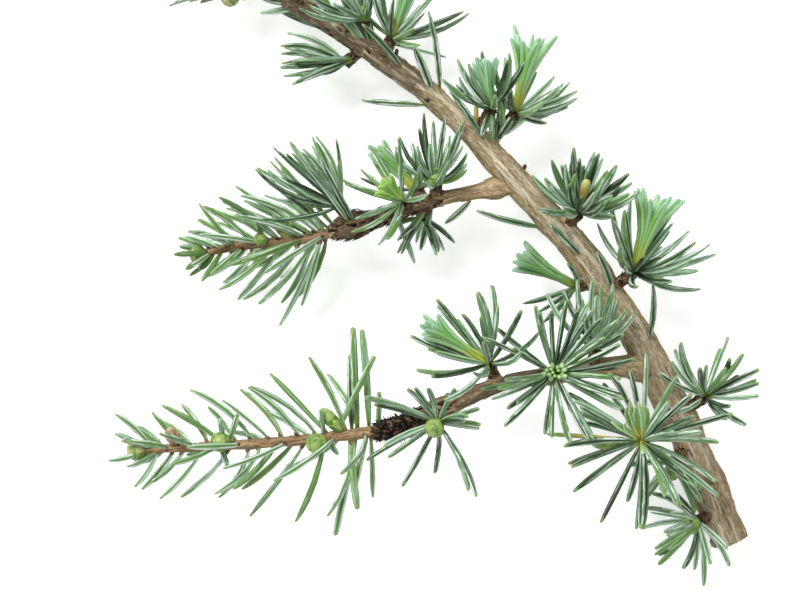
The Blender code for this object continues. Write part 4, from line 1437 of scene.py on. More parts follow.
def needle_template(outline, ridge_share=NEEDLE_RIDGE_SHARE, end_from=1.0, folded=False):
    """A needle one unit long and one wide: a four-sided tube drawn on ring by ring, its corners bevelled
    into ridges, and its tip and foot closed. Each face is band or ridge, or past end_from end. A folded one
    has one half of its width and its middle line apart."""
    shape = bmesh.new()
    ring, edges = first_ring(shape, 4, outline[0][1] / 2)
    for share, width in (*outline[1:], NEEDLE_END):
        ring, edges = next_ring(shape, ring, edges)
        for vertex in ring:
            flat = Vector((vertex.co.x, vertex.co.y, 0.0)).normalized() * (width / 2)
            vertex.co = (flat.x, flat.y, share)
    lengthwise = [e for e in shape.edges if abs(e.verts[0].co.z - e.verts[1].co.z) > LEAST_ALONG]
    bmesh.ops.bevel(
        shape,
        geom=lengthwise,
        offset=ridge_share,
        offset_type="PERCENT",
        segments=1,
        profile=0.5,
        affect="EDGES",
        material=RIDGE,
    )
    bmesh.ops.remove_doubles(shape, verts=shape.verts, dist=SAME_PLACE)
    close_tube(shape)
    for face in shape.faces:
        middle = face.calc_center_median()
        if middle.z > end_from:
            face.material_index = END
        elif folded and face.material_index == RIDGE and abs(middle.x) < abs(middle.y):
            face.material_index = FOLD
        elif folded and face.material_index == BAND and middle.x > 0:
            face.material_index = HALF
    end = max(shape.faces, key=lambda face: face.calc_center_median().z)
    point = bmesh.ops.poke(shape, faces=[end])["verts"][0]
    point.co.z = 1.0
    return template_from(shape)


def set_needle(spray, template, needle, width, flatness, roll, sway, dealt):
    """Sets a needle down along its bent line, rolled and swayed a little to one side."""
    t = template.points[:, 2:3]
    root, middle, tip = (np.array(point) for point in (needle.root, needle.middle, needle.tip))
    at = NEEDLE_BROADEST
    pull = (middle - (1 - at) ** 2 * root - at**2 * tip) / (2 * at * (1 - at))
    line = (needle.tip - needle.root).normalized()
    length = (needle.tip - needle.root).length
    turned = Quaternion(line, math.radians(roll))
    side, up = (np.array(turned @ way) for way in across(line, UP))
    pull = pull + side * sway * length
    path = (1 - t) ** 2 * root + 2 * t * (1 - t) * pull + t**2 * tip
    thickness = width * flatness
    points = path + template.points[:, :1] * side * width + template.points[:, 1:2] * up * thickness
    points[:, 2] = np.maximum(points[:, 2], GROUND)
    spray.add(template, points, dealt, np.array([width, thickness, length]))


# Where a needle's foot and tip change colour: (foot, tip, foot to, tip from).
OLD_ENDS = ("foot_lime", "tip_lime", 0.14, 0.9)
SHOOT_ENDS = ("foot_lime", "tip_lime", 0.22, 0.86)
YOUNG_ENDS = ("young_foot", "young_tip", 0.5, 0.74)
TEAL_ENDS = ("foot_lime", "young_tip", 0.4, 0.5)
DULL_ENDS = ("foot_lime", "bloom_mid", 0.3, 0.7)
LIME_ENDS = ("young_foot", "lime_half", 0.44, 0.7)
CURL_ENDS = ("curl_foot", "young_rim", 0.4, 0.55)
NEEDLE_SHEEN = 0.4
# The finishes that needles are dealt: (name, skin, wax, how much wax, ends), colours by their settings.
FINISHES = (
    ("pale_band", "bloom_mid", "bloom_pale", 1.0, OLD_ENDS),
    ("blue_band", "bloom_dark", "bloom_pale", 0.95, OLD_ENDS),
    ("dark_band", "ridge_dark", "bloom_mid", 0.95, OLD_ENDS),
    ("green_band", "leaf_green", "bloom_pale", 0.5, OLD_ENDS),
    ("ridge", "ridge_green", "bloom_mid", 0.5, OLD_ENDS),
    ("dark_ridge", "ridge_dark", "ridge_green", 0.6, OLD_ENDS),
    ("shoot_band", "shoot_band", "bloom_pale", 0.9, SHOOT_ENDS),
    ("shoot_ridge", "shoot_ridge", "shoot_band", 0.5, SHOOT_ENDS),
    ("yellow", "yellowed", "foot_lime", 0.6, ("yellowed", "shoot_band", 0.1, 0.5)),
    ("fresh", "fresh_blade", "young_pale", 0.5, YOUNG_ENDS),
    ("fresh_half", "young_half", "young_pale", 0.6, YOUNG_ENDS),
    ("teal", "teal_blade", "young_half", 0.5, TEAL_ENDS),
    ("teal_half", "young_half", "young_tip", 0.6, TEAL_ENDS),
    ("dull", "dull_blade", "shoot_band", 0.6, DULL_ENDS),
    ("dull_half", "shoot_band", "bloom_mid", 0.7, DULL_ENDS),
    ("lime", "lime_blade", "lime_half", 0.6, LIME_ENDS),
    ("lime_half", "lime_half", "young_pale", 0.5, LIME_ENDS),
    ("fold", "young_fold", "fresh_blade", 0.5, ("foot_lime", "fresh_blade", 0.3, 0.7)),
    ("curl", "young_half", "fresh_blade", 0.7, CURL_ENDS),
    ("curl_edge", "young_rim", "lime_half", 0.5, CURL_ENDS),
    ("rim", "young_rim", "young_pale", 0.4, ("ridge_dark", "young_rim", 0.9, 0.95)),
    ("centre", "lime_blade", "fresh_blade", 0.5, OLD_ENDS[:2] + (0.1, 1.0)),
    ("sheath", "sheath_skin", "sheath_tip", 0.7, ("sheath_foot", "sheath_tip", 0.4, 0.5)),
)


@lru_cache
def shared_materials():
    """The materials of every finish that needles are dealt, in their order."""
    colours = bpy.context.scene.cedar_needles
    made = []
    for name, skin, wax, rows, (foot, tip, foot_to, tip_from) in FINISHES:
        skin, wax, foot, tip = (getattr(colours, colour) for colour in (skin, wax, foot, tip))
        ends = (foot, tip, foot_to, tip_from)
        made.append(waxy_material("needle_" + name, skin, wax, rows, NEEDLE_SHEEN, ends))
    return made


def palette(*names):
    """The finishes of these names, as material indices."""
    order = [finish[0] for finish in FINISHES]
    return [order.index(name) for name in names]


def finish_needles(name, spray, replaces=()):
    """Finishes a piece that has the needles' finishes."""
    finish_piece(name, spray.mesh(name), shared_materials(), replaces)


OLD_PALETTES = (
    (("pale_band", "ridge"), 4),
    (("blue_band", "ridge"), 4),
    (("blue_band", "dark_ridge"), 4),
    (("dark_band", "dark_ridge"), 3),
    (("green_band", "ridge"), 2),
)
SHOOT_PALETTES = (
    (("shoot_band", "shoot_ridge"), 5),
    (("pale_band", "shoot_ridge"), 4),
    (("blue_band", "ridge"), 4),
    (("shoot_ridge", "ridge"), 1.0),
)


def deal(chance, palettes):
    """The finishes of one palette, drawn by its weight."""
    names = chance.choices([names for names, _ in palettes], [weight for _, weight in palettes])[0]
    return palette(*names)


def drawn(chance, spread):
    """A share of the full width, a roll and a sway for one needle, each within its kind's spread."""
    (narrowest, widest), roll, sway = spread
    return chance.uniform(narrowest, widest), chance.uniform(-roll, roll), chance.uniform(-sway, sway)


# How much a kind's needles differ: (shares of the full width, most roll in degrees, most sway by length).
OLD_SPREAD = ((0.86, 1.08), 25, 0.035)
SHOOT_SPREAD = ((0.88, 1.06), 20, 0.04)
YOUNG_SPREAD = ((0.75, 1.1), 30, 0.03)
ODD_SWAY = 0.03
# Which ridge goes with an odd needle's finish, where it isn't the plain one.
ODD_RIDGES = {"yellow": "yellow", "shoot_band": "shoot_ridge", "blue_band": "dark_ridge"}
BLUNT_ROSETTES = {"stem_rosette_1", "stem_rosette_2", "stem_rosette_3", "stem_rosette_4"}
BLUNT_ROSETTES |= {f"lower_rosette_{k}" for k in range(1, 5)}
GREEN_ROSETTES = {"stem_rosette_2", "upper_rosette_3"}
# Needles that stand apart from the rest: (foot, bearing, rise, length, share of the width, finish).
ODD_NEEDLES = (
    ((0.0476, -0.0266, 0.0190), 176.0, 0.0, 0.0188, 0.8, "yellow"),
    ((0.0546, -0.0318, 0.0118), 308.0, 2.0, 0.0097, 0.4, "dark_band"),
    ((0.0546, -0.0318, 0.0118), 318.0, 12.0, 0.0074, 1.1, "green_band"),
    ((0.0602, -0.0436, 0.0078), 169.0, 4.0, 0.0100, 0.4, "pale_band"),
    ((0.0602, -0.0436, 0.0078), 218.0, -4.0, 0.0112, 0.8, "green_band"),
    ((-0.0090, 0.0164, 0.0152), 118.0, 34.0, 0.0175, 1.0, "blue_band"),
    ((-0.0098, 0.0160, 0.0152), 127.0, 31.0, 0.0205, 1.0, "pale_band"),
    ((-0.0126, 0.0152, 0.0138), 131.0, 17.0, 0.0195, 1.0, "shoot_band"),
    ((-0.0136, 0.0148, 0.0138), 141.0, 13.0, 0.0200, 1.0, "blue_band"),
    ((-0.0148, 0.0144, 0.0136), 124.0, 22.0, 0.0168, 0.95, "green_band"),
    ((-0.0168, 0.0138, 0.0134), 148.0, 12.0, 0.0192, 1.0, "shoot_band"),
    ((-0.0190, 0.0134, 0.0132), 156.0, 15.0, 0.0184, 0.95, "blue_band"),
    ((-0.0330, 0.0118, 0.0126), 129.0, 22.0, 0.0118, 0.9, "shoot_band"),
    ((0.0194, 0.0345, 0.0148), 80.0, 16.0, 0.0078, 1.5, "blue_band"),
    ((0.0200, 0.0338, 0.0130), 38.0, 12.0, 0.0084, 1.4, "pale_band"),
    ((0.0180, 0.0388, 0.0176), 274.0, 10.0, 0.0066, 1.4, "dark_band"),
    ((0.0180, 0.0388, 0.0176), 250.0, 14.0, 0.0060, 1.2, "blue_band"),
    ((0.0230, 0.0382, 0.0146), 236.0, 16.0, 0.0072, 1.4, "blue_band"),
    ((0.0204, 0.0342, 0.0146), 96.0, 24.0, 0.0072, 1.3, "green_band"),
    ((-0.0096, 0.0494, 0.0122), 184.0, 6.0, 0.0120, 1.3, "dark_band"),
    ((-0.0096, 0.0490, 0.0120), 202.0, 2.0, 0.0130, 1.2, "blue_band"),
    ((-0.0005, 0.0174, 0.0126), 291.0, 0.0, 0.0096, 1.1, "pale_band"),
    ((0.0050, 0.0192, 0.0134), 234.0, -10.0, 0.0066, 1.3, "green_band"),
    ((0.0063, 0.0192, 0.0132), 255.0, -8.0, 0.0086, 1.2, "blue_band"),
    ((-0.0084, -0.0246, 0.0136), 92.5, 10.0, 0.0208, 1.4, "shoot_band"),
    ((-0.0062, -0.0242, 0.0136), 94.0, 8.0, 0.0198, 1.35, "green_band"),
    ((-0.0124, -0.0252, 0.0140), 64.0, 18.0, 0.0180, 1.1, "green_band"),
    ((-0.0096, -0.0248, 0.0134), 91.0, 3.0, 0.0152, 1.3, "blue_band"),
    ((-0.0044, -0.0240, 0.0134), 88.0, 20.0, 0.0074, 1.0, "shoot_band"),
    ((-0.0100, -0.0256, 0.0132), 276.0, 8.0, 0.0152, 1.35, "green_band"),
    ((-0.0086, -0.0254, 0.0122), 258.0, -4.0, 0.0214, 1.35, "pale_band"),
    ((-0.0064, -0.0250, 0.0126), 257.0, 2.0, 0.0112, 1.1, "shoot_band"),
    ((-0.0056, 0.0508, 0.0142), 121.0, 18.0, 0.0124, 1.5, "blue_band"),
    ((-0.0050, 0.0510, 0.0140), 104.0, 20.0, 0.0112, 1.4, "dark_band"),
    ((-0.0062, 0.0512, 0.0142), 133.0, 22.0, 0.0098, 1.3, "green_band"),
    ((-0.0122, 0.0548, 0.0142), 126.0, 16.0, 0.0086, 1.6, "blue_band"),
    ((-0.0128, 0.0554, 0.0142), 112.0, 22.0, 0.0080, 1.5, "shoot_band"),
    ((-0.0152, 0.0556, 0.0106), 158.0, -4.0, 0.0098, 1.2, "dark_band"),
    ((-0.0192, 0.0598, 0.0118), 189.0, 4.0, 0.0088, 1.1, "pale_band"),
    ((-0.0196, 0.0600, 0.0124), 172.0, 12.0, 0.0082, 1.3, "blue_band"),
    ((-0.0010, 0.0519, 0.0138), 346.0, 4.0, 0.0106, 0.6, "pale_band"),
    ((0.0068, 0.0412, 0.0146), 112.0, 14.0, 0.0116, 1.5, "blue_band"),
)
# Where the photo shows open sky beside a rosette or a shoot: its needles end within (least, most) X and Y.
OPEN_SKY = {
    "leader_rosette_2": ((-1.0, 1.0), (0.0600, 1.0)),
    "stem_rosette_12": ((-0.0240, 1.0), (0.0466, 1.0)),
    "upper_rosette_4": ((-1.0, 1.0), (-1.0, 0.0332)),
    "upper_rosette_1": ((-1.0, 0.0132), (-1.0, 1.0)),
    "lower_rosette_1": ((-1.0, 0.0156), (-1.0, -0.0160)),
    "lower_leafy_shoot": ((-1.0, 1.0), (-1.0, -0.0100)),
}
LEAST_LEFT = 0.45  # a needle that would keep less of itself than this is left out
TUFT_CLEARING = 9.0  # how far round a tuft old needles keep away, in degrees
TUFT_BELOW, TUFT_OFF = 0.05, math.radians(50)  # from how far below it, and up to what angle off it


def ended_at_sky(name, needle):
    """The needle shortened to end before the open sky, or None where too little of it would be left."""
    share = 1.0
    for (least, most), root, tip in zip(OPEN_SKY.get(name, ()), needle.root, needle.tip):
        if tip < least:
            share = min(share, (root - least) / (root - tip))
        if tip > most:
            share = min(share, (most - root) / (tip - root))
    if share < LEAST_LEFT:
        return None
    return Needle(*(needle.root.lerp(point, share) for point in (needle.root, needle.middle, needle.tip)))


def hides_tuft(rosette, needle):
    """Whether a needle stands in or over its rosette's tuft."""
    axis = heading(rosette.tuft.bearing, rosette.tuft.rise)
    along = (needle.tip - Vector(rosette.heart)).normalized()
    beside = math.degrees(axis.xy.angle(along.xy)) < rosette.tuft.spread + TUFT_CLEARING
    return beside and along.z > axis.z - TUFT_BELOW and axis.angle(along) < TUFT_OFF


class CEDAR_OT_rosettes(bpy.types.Operator):
    """Grows the older needles of every rosette"""

    bl_idname = "cedar.rosettes"
    bl_label = "Rosette needles"

    def execute(self, context):
        sizes = context.scene.cedar_needles
        blunt, lance = (needle_template(outline) for outline in (BLUNT, LANCE))
        chance = random.Random(71)
        spray = Spray(71)
        for rosette in ROSETTES:
            template = blunt if rosette.name in BLUNT_ROSETTES else lance
            palettes = SHOOT_PALETTES if rosette.name in GREEN_ROSETTES else OLD_PALETTES
            for needle in growth().on_rosettes[rosette.name]:
                needle = ended_at_sky(rosette.name, needle)
                if not needle or rosette.tuft and hides_tuft(rosette, needle):
                    continue
                share, roll, sway = drawn(chance, OLD_SPREAD)
                width = sizes.old_width * rosette.plump * share
                dealt = deal(chance, palettes)
                set_needle(spray, template, needle, width, sizes.flatness, roll, sway, dealt)
        for foot, bearing, rise, length, share, finish in ODD_NEEDLES:
            needle = bent_needle(Vector(foot), heading(bearing, rise), length, DOWN)
            width, sway = sizes.old_width * share, chance.uniform(-ODD_SWAY, ODD_SWAY)
            template = blunt if foot[1] < 0 else lance
            dealt = palette(finish, ODD_RIDGES.get(finish, "ridge"))
            set_needle(spray, template, needle, width, sizes.flatness, 0.0, sway, dealt)
        finish_needles("rosette_needles", spray, [rosette.name for rosette in ROSETTES])
        return {"FINISHED"}


BUD_NEEDLE_BEND = 1.5  # how much more than others the needles round a bud bend


class CEDAR_OT_shoots(bpy.types.Operator):
    """Grows the single needles of the leafy shoots"""

    bl_idname = "cedar.shoots"
    bl_label = "Shoot needles"

    def execute(self, context):
        sizes = context.scene.cedar_needles
        template = needle_template(LONG_LANCE)
        chance = random.Random(72)
        spray = Spray(72)
        for shoot in LEAFY_SHOOTS:
            for needle in growth().on_shoots[shoot.name]:
                needle = ended_at_sky(shoot.name, needle)
                if not needle:
                    continue
                share, roll, sway = drawn(chance, SHOOT_SPREAD)
                width = sizes.shoot_width * share
                dealt = deal(chance, SHOOT_PALETTES)
                set_needle(spray, template, needle, width, sizes.flatness, roll, sway, dealt)
        for name, share, bearing, rise, length in BUD_NEEDLES:
            centre = place_along(growth().shoots[name], share)[0]
            needle = bent_needle(centre, heading(bearing, rise), length, DOWN, BUD_NEEDLE_BEND)
            dealt = deal(chance, SHOOT_PALETTES)
            set_needle(spray, template, needle, sizes.shoot_width, sizes.flatness, 0.0, ODD_SWAY, dealt)
        finish_needles("shoot_needles", spray, [shoot.name for shoot in LEAFY_SHOOTS])
        return {"FINISHED"}


LONE_SINK = 0.55  # how deep a lone needle's root is in its limb, as a share of the limb's radius
LONE_WIDTH, LONE_ROLL, LONE_SWAY = 1.1, 20, 0.02  # by an old needle's width, in degrees, and by its length


class CEDAR_OT_lone_needles(bpy.types.Operator):
    """Puts the single needles on the bark"""

    bl_idname = "cedar.lone_needles"
    bl_label = "Lone needles"

    def execute(self, context):
        sizes = context.scene.cedar_needles
        template = needle_template(LANCE)
        chance = random.Random(73)
        spray = Spray(73)
        for lone, needle in zip(LONE_NEEDLES, growth().lone):
            centre, _, radius = nearest_place(growth().limbs[lone.limb], needle.root)
            inward = (centre - needle.root).normalized()
            grown_out = Needle(needle.root + inward * (LONE_SINK * radius), needle.middle, needle.tip)
            dealt = palette("blue_band", "dark_ridge")
            width, roll = sizes.old_width * LONE_WIDTH, chance.uniform(-LONE_ROLL, LONE_ROLL)
            set_needle(spray, template, grown_out, width, sizes.flatness, roll, LONE_SWAY, dealt)
        finish_needles("lone_needles", spray, [f"lone_needle_{i + 1}" for i in range(len(LONE_NEEDLES))])
        return {"FINISHED"}


# Young tufts.

# A young blade, broadest far out: (share of its length, share of its full width).
BLADE = (
    (0.0, 0.42), (0.12, 0.52), (0.28, 0.68), (0.5, 0.9),
    (0.72, 1.0), (0.87, 0.92), (0.95, 0.66), (0.985, 0.4),
)
# A blade of a curl, broad from its foot.
CUP = ((0.0, 0.62), (0.12, 0.84), (0.36, 1.0), (0.64, 0.98), (0.84, 0.88), (0.93, 0.7), (0.975, 0.45))
# A needle just out of its bud, short and round-ended.
BUDDING = ((0.0, 0.5), (0.3, 0.7), (0.6, 0.95), (0.8, 1.0), (0.92, 0.88), (0.975, 0.62))
# A dry sheath, slim at its foot and round at its end.
SHEATH = ((0.0, 0.5), (0.1, 0.62), (0.35, 0.74), (0.65, 0.94), (0.85, 1.0), (0.95, 0.78), (0.985, 0.45))
TUFT_FLARE = 0.2  # how near to its tuft's middle line a blade keeps before it spreads
TUFT_FAN = 1.3  # how much further a tuft spreads sideways than up and down
BLADE_RIDGE_SHARE, BLADE_FLATNESS = 12.0, 0.34  # per cent of a side, and by its width
BLADE_LENGTHS = (0.82, 1.0)  # the least and the most of a blade's length that it has grown


def fanned(blade, heart, beside):
    """A tuft's blade, moved sideways from the tuft's middle line by how far it is out already."""
    moved = (point + beside * ((TUFT_FAN - 1) * (point - heart).dot(beside)) for point in blade)
    return Needle(*moved)


class CEDAR_OT_tufts(bpy.types.Operator):
    """Grows the bright young tufts in the rosettes' hearts"""

    bl_idname = "cedar.tufts"
    bl_label = "Young tufts"

    def execute(self, context):
        sizes = context.scene.cedar_needles
        template = needle_template(BLADE, BLADE_RIDGE_SHARE, folded=True)
        chance = random.Random(74)
        spray = Spray(74)
        for rosette in ROSETTES:
            if not rosette.tuft or rosette.middle == "curl":
                continue
            axis, heart = heading(rosette.tuft.bearing, rosette.tuft.rise), Vector(rosette.heart)
            beside = Vector((-axis.y, axis.x, 0.0)).normalized()
            for needle in growth().in_tufts[rosette.name]:
                on_line = heart + axis * (needle.middle - heart).dot(axis)
                tip = needle.root.lerp(needle.tip, chance.uniform(*BLADE_LENGTHS))
                blade = fanned((needle.root, needle.middle.lerp(on_line, TUFT_FLARE), tip), heart, beside)
                share, roll, sway = drawn(chance, YOUNG_SPREAD)
                tone, half = rosette.tuft.tone, rosette.tuft.tone + "_half"
                sides = (tone, half) if chance.random() < 0.5 else (half, tone)
                dealt = palette(sides[0], half, half, sides[1], "fold")
                width = sizes.young_width * share
                set_needle(spray, template, blade, width, BLADE_FLATNESS, roll, sway, dealt)
        finish_needles("young_tufts", spray)
        return {"FINISHED"}


# Buds and scales.


# An old scale: how much it narrows to its foot and to its tip, where that starts, and how it falls.
SCALE_FOOT, SCALE_TIP, SCALE_TIP_FROM, SCALE_TIP_FALL = 0.15, 0.95, 0.35, 1.3
SCALE_CUP, SCALE_BOW, SCALE_THICKNESS = 0.22, 0.10, 0.05  # by its width


def scale_template():
    """An old bud scale one unit long and one wide: a small plate, drawn to a point and cupped."""
    shape = bmesh.new()
    bmesh.ops.create_grid(shape, x_segments=2, y_segments=3, size=0.5)
    for vertex in shape.verts:
        share = vertex.co.y + 0.5
        pointed = max(share - SCALE_TIP_FROM, 0.0) ** SCALE_TIP_FALL / (1 - SCALE_TIP_FROM) ** SCALE_TIP_FALL
        width = 1.0 - SCALE_FOOT * (1 - share) - SCALE_TIP * pointed
        cup = SCALE_CUP * (1 - (vertex.co.x * 2) ** 2) * width
        vertex.co = (vertex.co.x * width, cup - SCALE_BOW * share**2, share)
    bmesh.ops.solidify(shape, geom=list(shape.faces), thickness=SCALE_THICKNESS)
    return template_from(shape)


def set_scale(spray, template, foot, line, out, length, width, finish):
    """Sets a scale down with its foot at a point, pointing along line, with its back to out."""
    out = (out - line * out.dot(line)).normalized()
    side = line.cross(out).normalized()
    basis = np.array([np.array(side) * width, np.array(out) * width, np.array(line) * length])
    spray.add(template, template.points @ basis + np.array(foot), [finish], np.array([width, width, length]))


def lifted(line, out, lift, twist):
    """The way a scale points: along its limb, lifted off it, and twisted about the way out, in degrees."""
    return Quaternion(out, math.radians(twist)) @ swing(line, out, math.radians(lift))


TAN, BROWN, DARK, BLACK = range(4)  # the finishes of old scales
# Scales on the knobs: lift from and to, most twist and turn, shares of the full length and width, how far
# out they sit by the limb's radius, and how far back by their length.
KNOB_LIFTS, KNOB_TWIST, KNOB_TURN = (2, 18), 30, 12
KNOB_LENGTHS, KNOB_WIDTHS, KNOB_SEATS, KNOB_SINK = (0.5, 1.3), (0.45, 1.05), (0.9, 1.0), 0.3
KNOB_TONES = {TAN: 1.6, BROWN: 4, DARK: 5, BLACK: 1.2}
# Scales on a spur: how many, and in how many circles back from its heart. The rest is as on the knobs.
SPUR_SCALES, SPUR_SCALE_CIRCLES = 54, 9
SPUR_SCALES_REACH, SPUR_SCALES_MOST = 0.0034, 0.5  # how far back they go, and the most of the spur
SPUR_SCALES_FROM = 0.98  # the share of the spur's length where the first circle stands
SPUR_LIFTS, SPUR_TWIST, SPUR_LENGTHS = (3, 26), 24, (0.4, 0.8)
SPUR_SCALE_SEAT, SPUR_SCALE_SINK, SPUR_SCALE_WIDTH = 0.74, 0.5, 0.6
SPUR_TONES = {TAN: 2.5, BROWN: 5, DARK: 3}
# Black chaff on a twig: where, how many strands, how many in a clump, and a clump's reach along and round.
CHAFF_LIMB, CHAFF_FROM, CHAFF_REACH = "lower_twig", 0.84, 0.15
CHAFF_STRANDS, CHAFF_CLUMP, CHAFF_CLUMP_TURN = 620, 20, 97.0
CHAFF_ALONG, CHAFF_ROUND, CHAFF_TWIST, CHAFF_SEAT = 0.015, 0.7, 70, 0.96
# Its two kinds, strands that stand out and flakes that lie flat: (lifts in degrees, lengths, widths).
CHAFF_KINDS = (
    ((10, 80), (0.0005, 0.0017), (0.0002, 0.0004)),
    ((0, 12), (0.0010, 0.0020), (0.0005, 0.0010)),
)
PEG = ((0.0, 0.9), (0.4, 1.0), (0.8, 0.8))  # the peg that a shoot's needle stands on
PEG_WIDTH, PEG_FLATNESS, PEG_REACH = 0.0011, 0.9, (0.0008, 0.0013)
PEG_SEAT, PEG_SQUAREST = 0.7, 0.4  # by the twig's radius, and the least that a needle leans out
STUB_WIDTH, STUB_FLATNESS, STUB_REACH = 0.0010, 0.8, (0.0008, 0.0014)
STUB_SEAT, STUB_LEAN = 0.9, 0.5  # by the limb's radius, and how far it leans along


def chosen(chance, tones):
    """One of the finishes, drawn by its weight."""
    return chance.choices(list(tones), list(tones.values()))[0]


@lru_cache
def scale_materials():
    look = bpy.context.scene.cedar_buds
    return [
        waxy_material("scale_tan", look.scale_tan, look.scale_brown, 0.8, 0.2, relief=BARK_RELIEF),
        waxy_material("scale_brown", look.scale_brown, look.scale_tan, 0.6, 0.2, relief=BARK_RELIEF),
        waxy_material("scale_dark", look.scale_dark, look.scale_brown, 0.6, 0.2),
        waxy_material("chaff_black", look.chaff_black, look.scale_dark, 0.5, 0.2),
    ]


class CEDAR_OT_scales(bpy.types.Operator):
    """Sets the old bud scales on the twigs' knobs, the spurs' collars and the chaff"""

    bl_idname = "cedar.scales"
    bl_label = "Scales and chaff"

    def execute(self, context):
        look = context.scene.cedar_buds
        grown = growth()
        template = scale_template()
        chance = random.Random(75)
        spray = Spray(75)
        for limb, start, end, count, _ in DARKER_BARK_AND_SHADE:
            self.cover_knob(spray, template, chance, look, grown.limbs[limb], start, end, count)
        for rosette in ROSETTES:
            self.cover_spur(spray, template, chance, look, spur_places(rosette, grown.limbs[rosette.limb]))
        self.set_pegs(spray, chance, grown)
        self.set_stubs(spray, grown)
        self.set_chaff(spray, template, chance, grown.limbs[CHAFF_LIMB])
        finish_piece("scales_and_chaff", spray.mesh("scales_and_chaff"), scale_materials())
        return {"FINISHED"}

    def cover_knob(self, spray, template, chance, look, places, start, end, count):
        """Sets scales all round a stretch of a limb."""
        for k in range(count):
            centre, line, radius = place_along(places, start + (end - start) * (k + 0.5) / count)
            side, up = across(line, UP)
            turn = math.radians(k * GOLDEN_ANGLE + chance.uniform(-KNOB_TURN, KNOB_TURN))
            out = swing(side, up, turn)
            lift, twist = chance.uniform(*KNOB_LIFTS), chance.uniform(-KNOB_TWIST, KNOB_TWIST)
            length = look.scale_length * chance.uniform(*KNOB_LENGTHS)
            width = look.scale_width * chance.uniform(*KNOB_WIDTHS)
            foot = centre + out * (radius * chance.uniform(*KNOB_SEATS)) - line * (KNOB_SINK * length)
            along = lifted(line, out, lift, twist)
            set_scale(spray, template, foot, along, out, length, width, chosen(chance, KNOB_TONES))

    def cover_spur(self, spray, template, chance, look, places):
        """Sets circles of scales on a spur, back from its heart."""
        length_of_spur = sum((b[0] - a[0]).length for a, b in zip(places, places[1:]))
        reach = min(SPUR_SCALES_REACH / length_of_spur, SPUR_SCALES_MOST)
        for k in range(SPUR_SCALES):
            back = reach * (k % SPUR_SCALE_CIRCLES) / (SPUR_SCALE_CIRCLES - 1)
            centre, line, radius = place_along(places, SPUR_SCALES_FROM - back)
            side, up = across(line, UP)
            out = swing(side, up, math.radians(k * GOLDEN_ANGLE))
            lift, twist = chance.uniform(*SPUR_LIFTS), chance.uniform(-SPUR_TWIST, SPUR_TWIST)
            length = look.scale_length * chance.uniform(*SPUR_LENGTHS)
            width = look.scale_width * SPUR_SCALE_WIDTH
            foot = centre + out * (radius * SPUR_SCALE_SEAT) - line * (SPUR_SCALE_SINK * length)
            along = lifted(line, out, lift, twist)
            set_scale(spray, template, foot, along, out, length, width, chosen(chance, SPUR_TONES))

    def set_pegs(self, spray, chance, grown):
        """Sets a tan or brown peg at each shoot needle's foot."""
        template = needle_template(PEG)
        for shoot in LEAFY_SHOOTS:
            for needle in grown.on_shoots[shoot.name]:
                _, line, radius = nearest_place(grown.shoots[shoot.name], needle.root)
                along = (needle.middle - needle.root).normalized()
                out_of_bark = PEG_SEAT * radius / max(along.cross(line).length, PEG_SQUAREST)
                start = needle.root + along * out_of_bark
                peg = Needle(start, *(start + along * reach for reach in PEG_REACH))
                dealt = [chance.choice((TAN, BROWN))] * 2
                set_needle(spray, template, peg, PEG_WIDTH, PEG_FLATNESS, 0.0, 0.0, dealt)

    def set_stubs(self, spray, grown):
        """Sets a dark stub where the bark has lost a needle."""
        template = needle_template(PEG)
        for limb, beside, seat in STUBS:
            centre, line, radius, way = seat_on(grown.limbs[limb], beside, seat)
            out = way + line * STUB_LEAN
            start = centre + out.normalized() * (radius * STUB_SEAT)
            stub = Needle(start, *(start + out * reach for reach in STUB_REACH))
            set_needle(spray, template, stub, STUB_WIDTH, STUB_FLATNESS, 0.0, 0.0, [DARK, DARK])

    def set_chaff(self, spray, template, chance, places):
        """Sets strands and flakes of chaff in clumps along and round a limb."""
        for k in range(CHAFF_STRANDS):
            clump = math.floor(k / CHAFF_CLUMP)
            share = CHAFF_FROM + CHAFF_REACH * ((clump * GOLDEN_ANGLE / 360) % 1.0)
            centre, line, radius = place_along(places, share + chance.uniform(-CHAFF_ALONG, CHAFF_ALONG))
            side, up = across(line, UP)
            turn = math.radians(clump * CHAFF_CLUMP_TURN) + chance.uniform(-CHAFF_ROUND, CHAFF_ROUND)
            out = swing(side, up, turn)
            lifts, lengths, widths = CHAFF_KINDS[k % 2]
            lift, twist = chance.uniform(*lifts), chance.uniform(-CHAFF_TWIST, CHAFF_TWIST)
            length, width = chance.uniform(*lengths), chance.uniform(*widths)
            foot = centre + out * (radius * CHAFF_SEAT)
            set_scale(spray, template, foot, lifted(line, out, lift, twist), out, length, width, BLACK)


BUD_SCALE_THICKNESS = 0.04  # by its bud's radius
BUD_SCALE_BROADEST, BUD_SCALE_OVAL = 0.42, 1.16  # where a bud's scale is broadest, and its oval's length
BUD_ROWS, BUD_ROUND = 4, 5  # rows of scales, and how many in a row
BUD_ROW_TURN = 36  # how far a row is turned on from the last, in degrees
BUD_TURN = 6  # how far a scale strays from its place in the row, in degrees
# By the bud's length: where the lowest row starts, how far all the rows reach, and how far a scale does.
BUD_LOWEST, BUD_ROWS_REACH, BUD_SCALE_REACH = 0.04, 0.62, 0.46
BUD_TOP = 0.985  # the highest that a scale's tip lies
BUD_WRAP = 1.75  # how far round a scale reaches, in radians
BUD_CORE = 0.93  # how thick the egg inside is, by the bud's radius
BUD_BULGE, BUD_LIFT, BUD_ROW_LIFT = 0.05, 0.12, 0.02  # how far a scale bulges and lifts, and each row more
BUD_DRY_FROM = 0.4  # how dry the lowest row is, by the bud's own share
GREEN, LIME, PAPERY, DRY = range(4)  # the finishes of buds


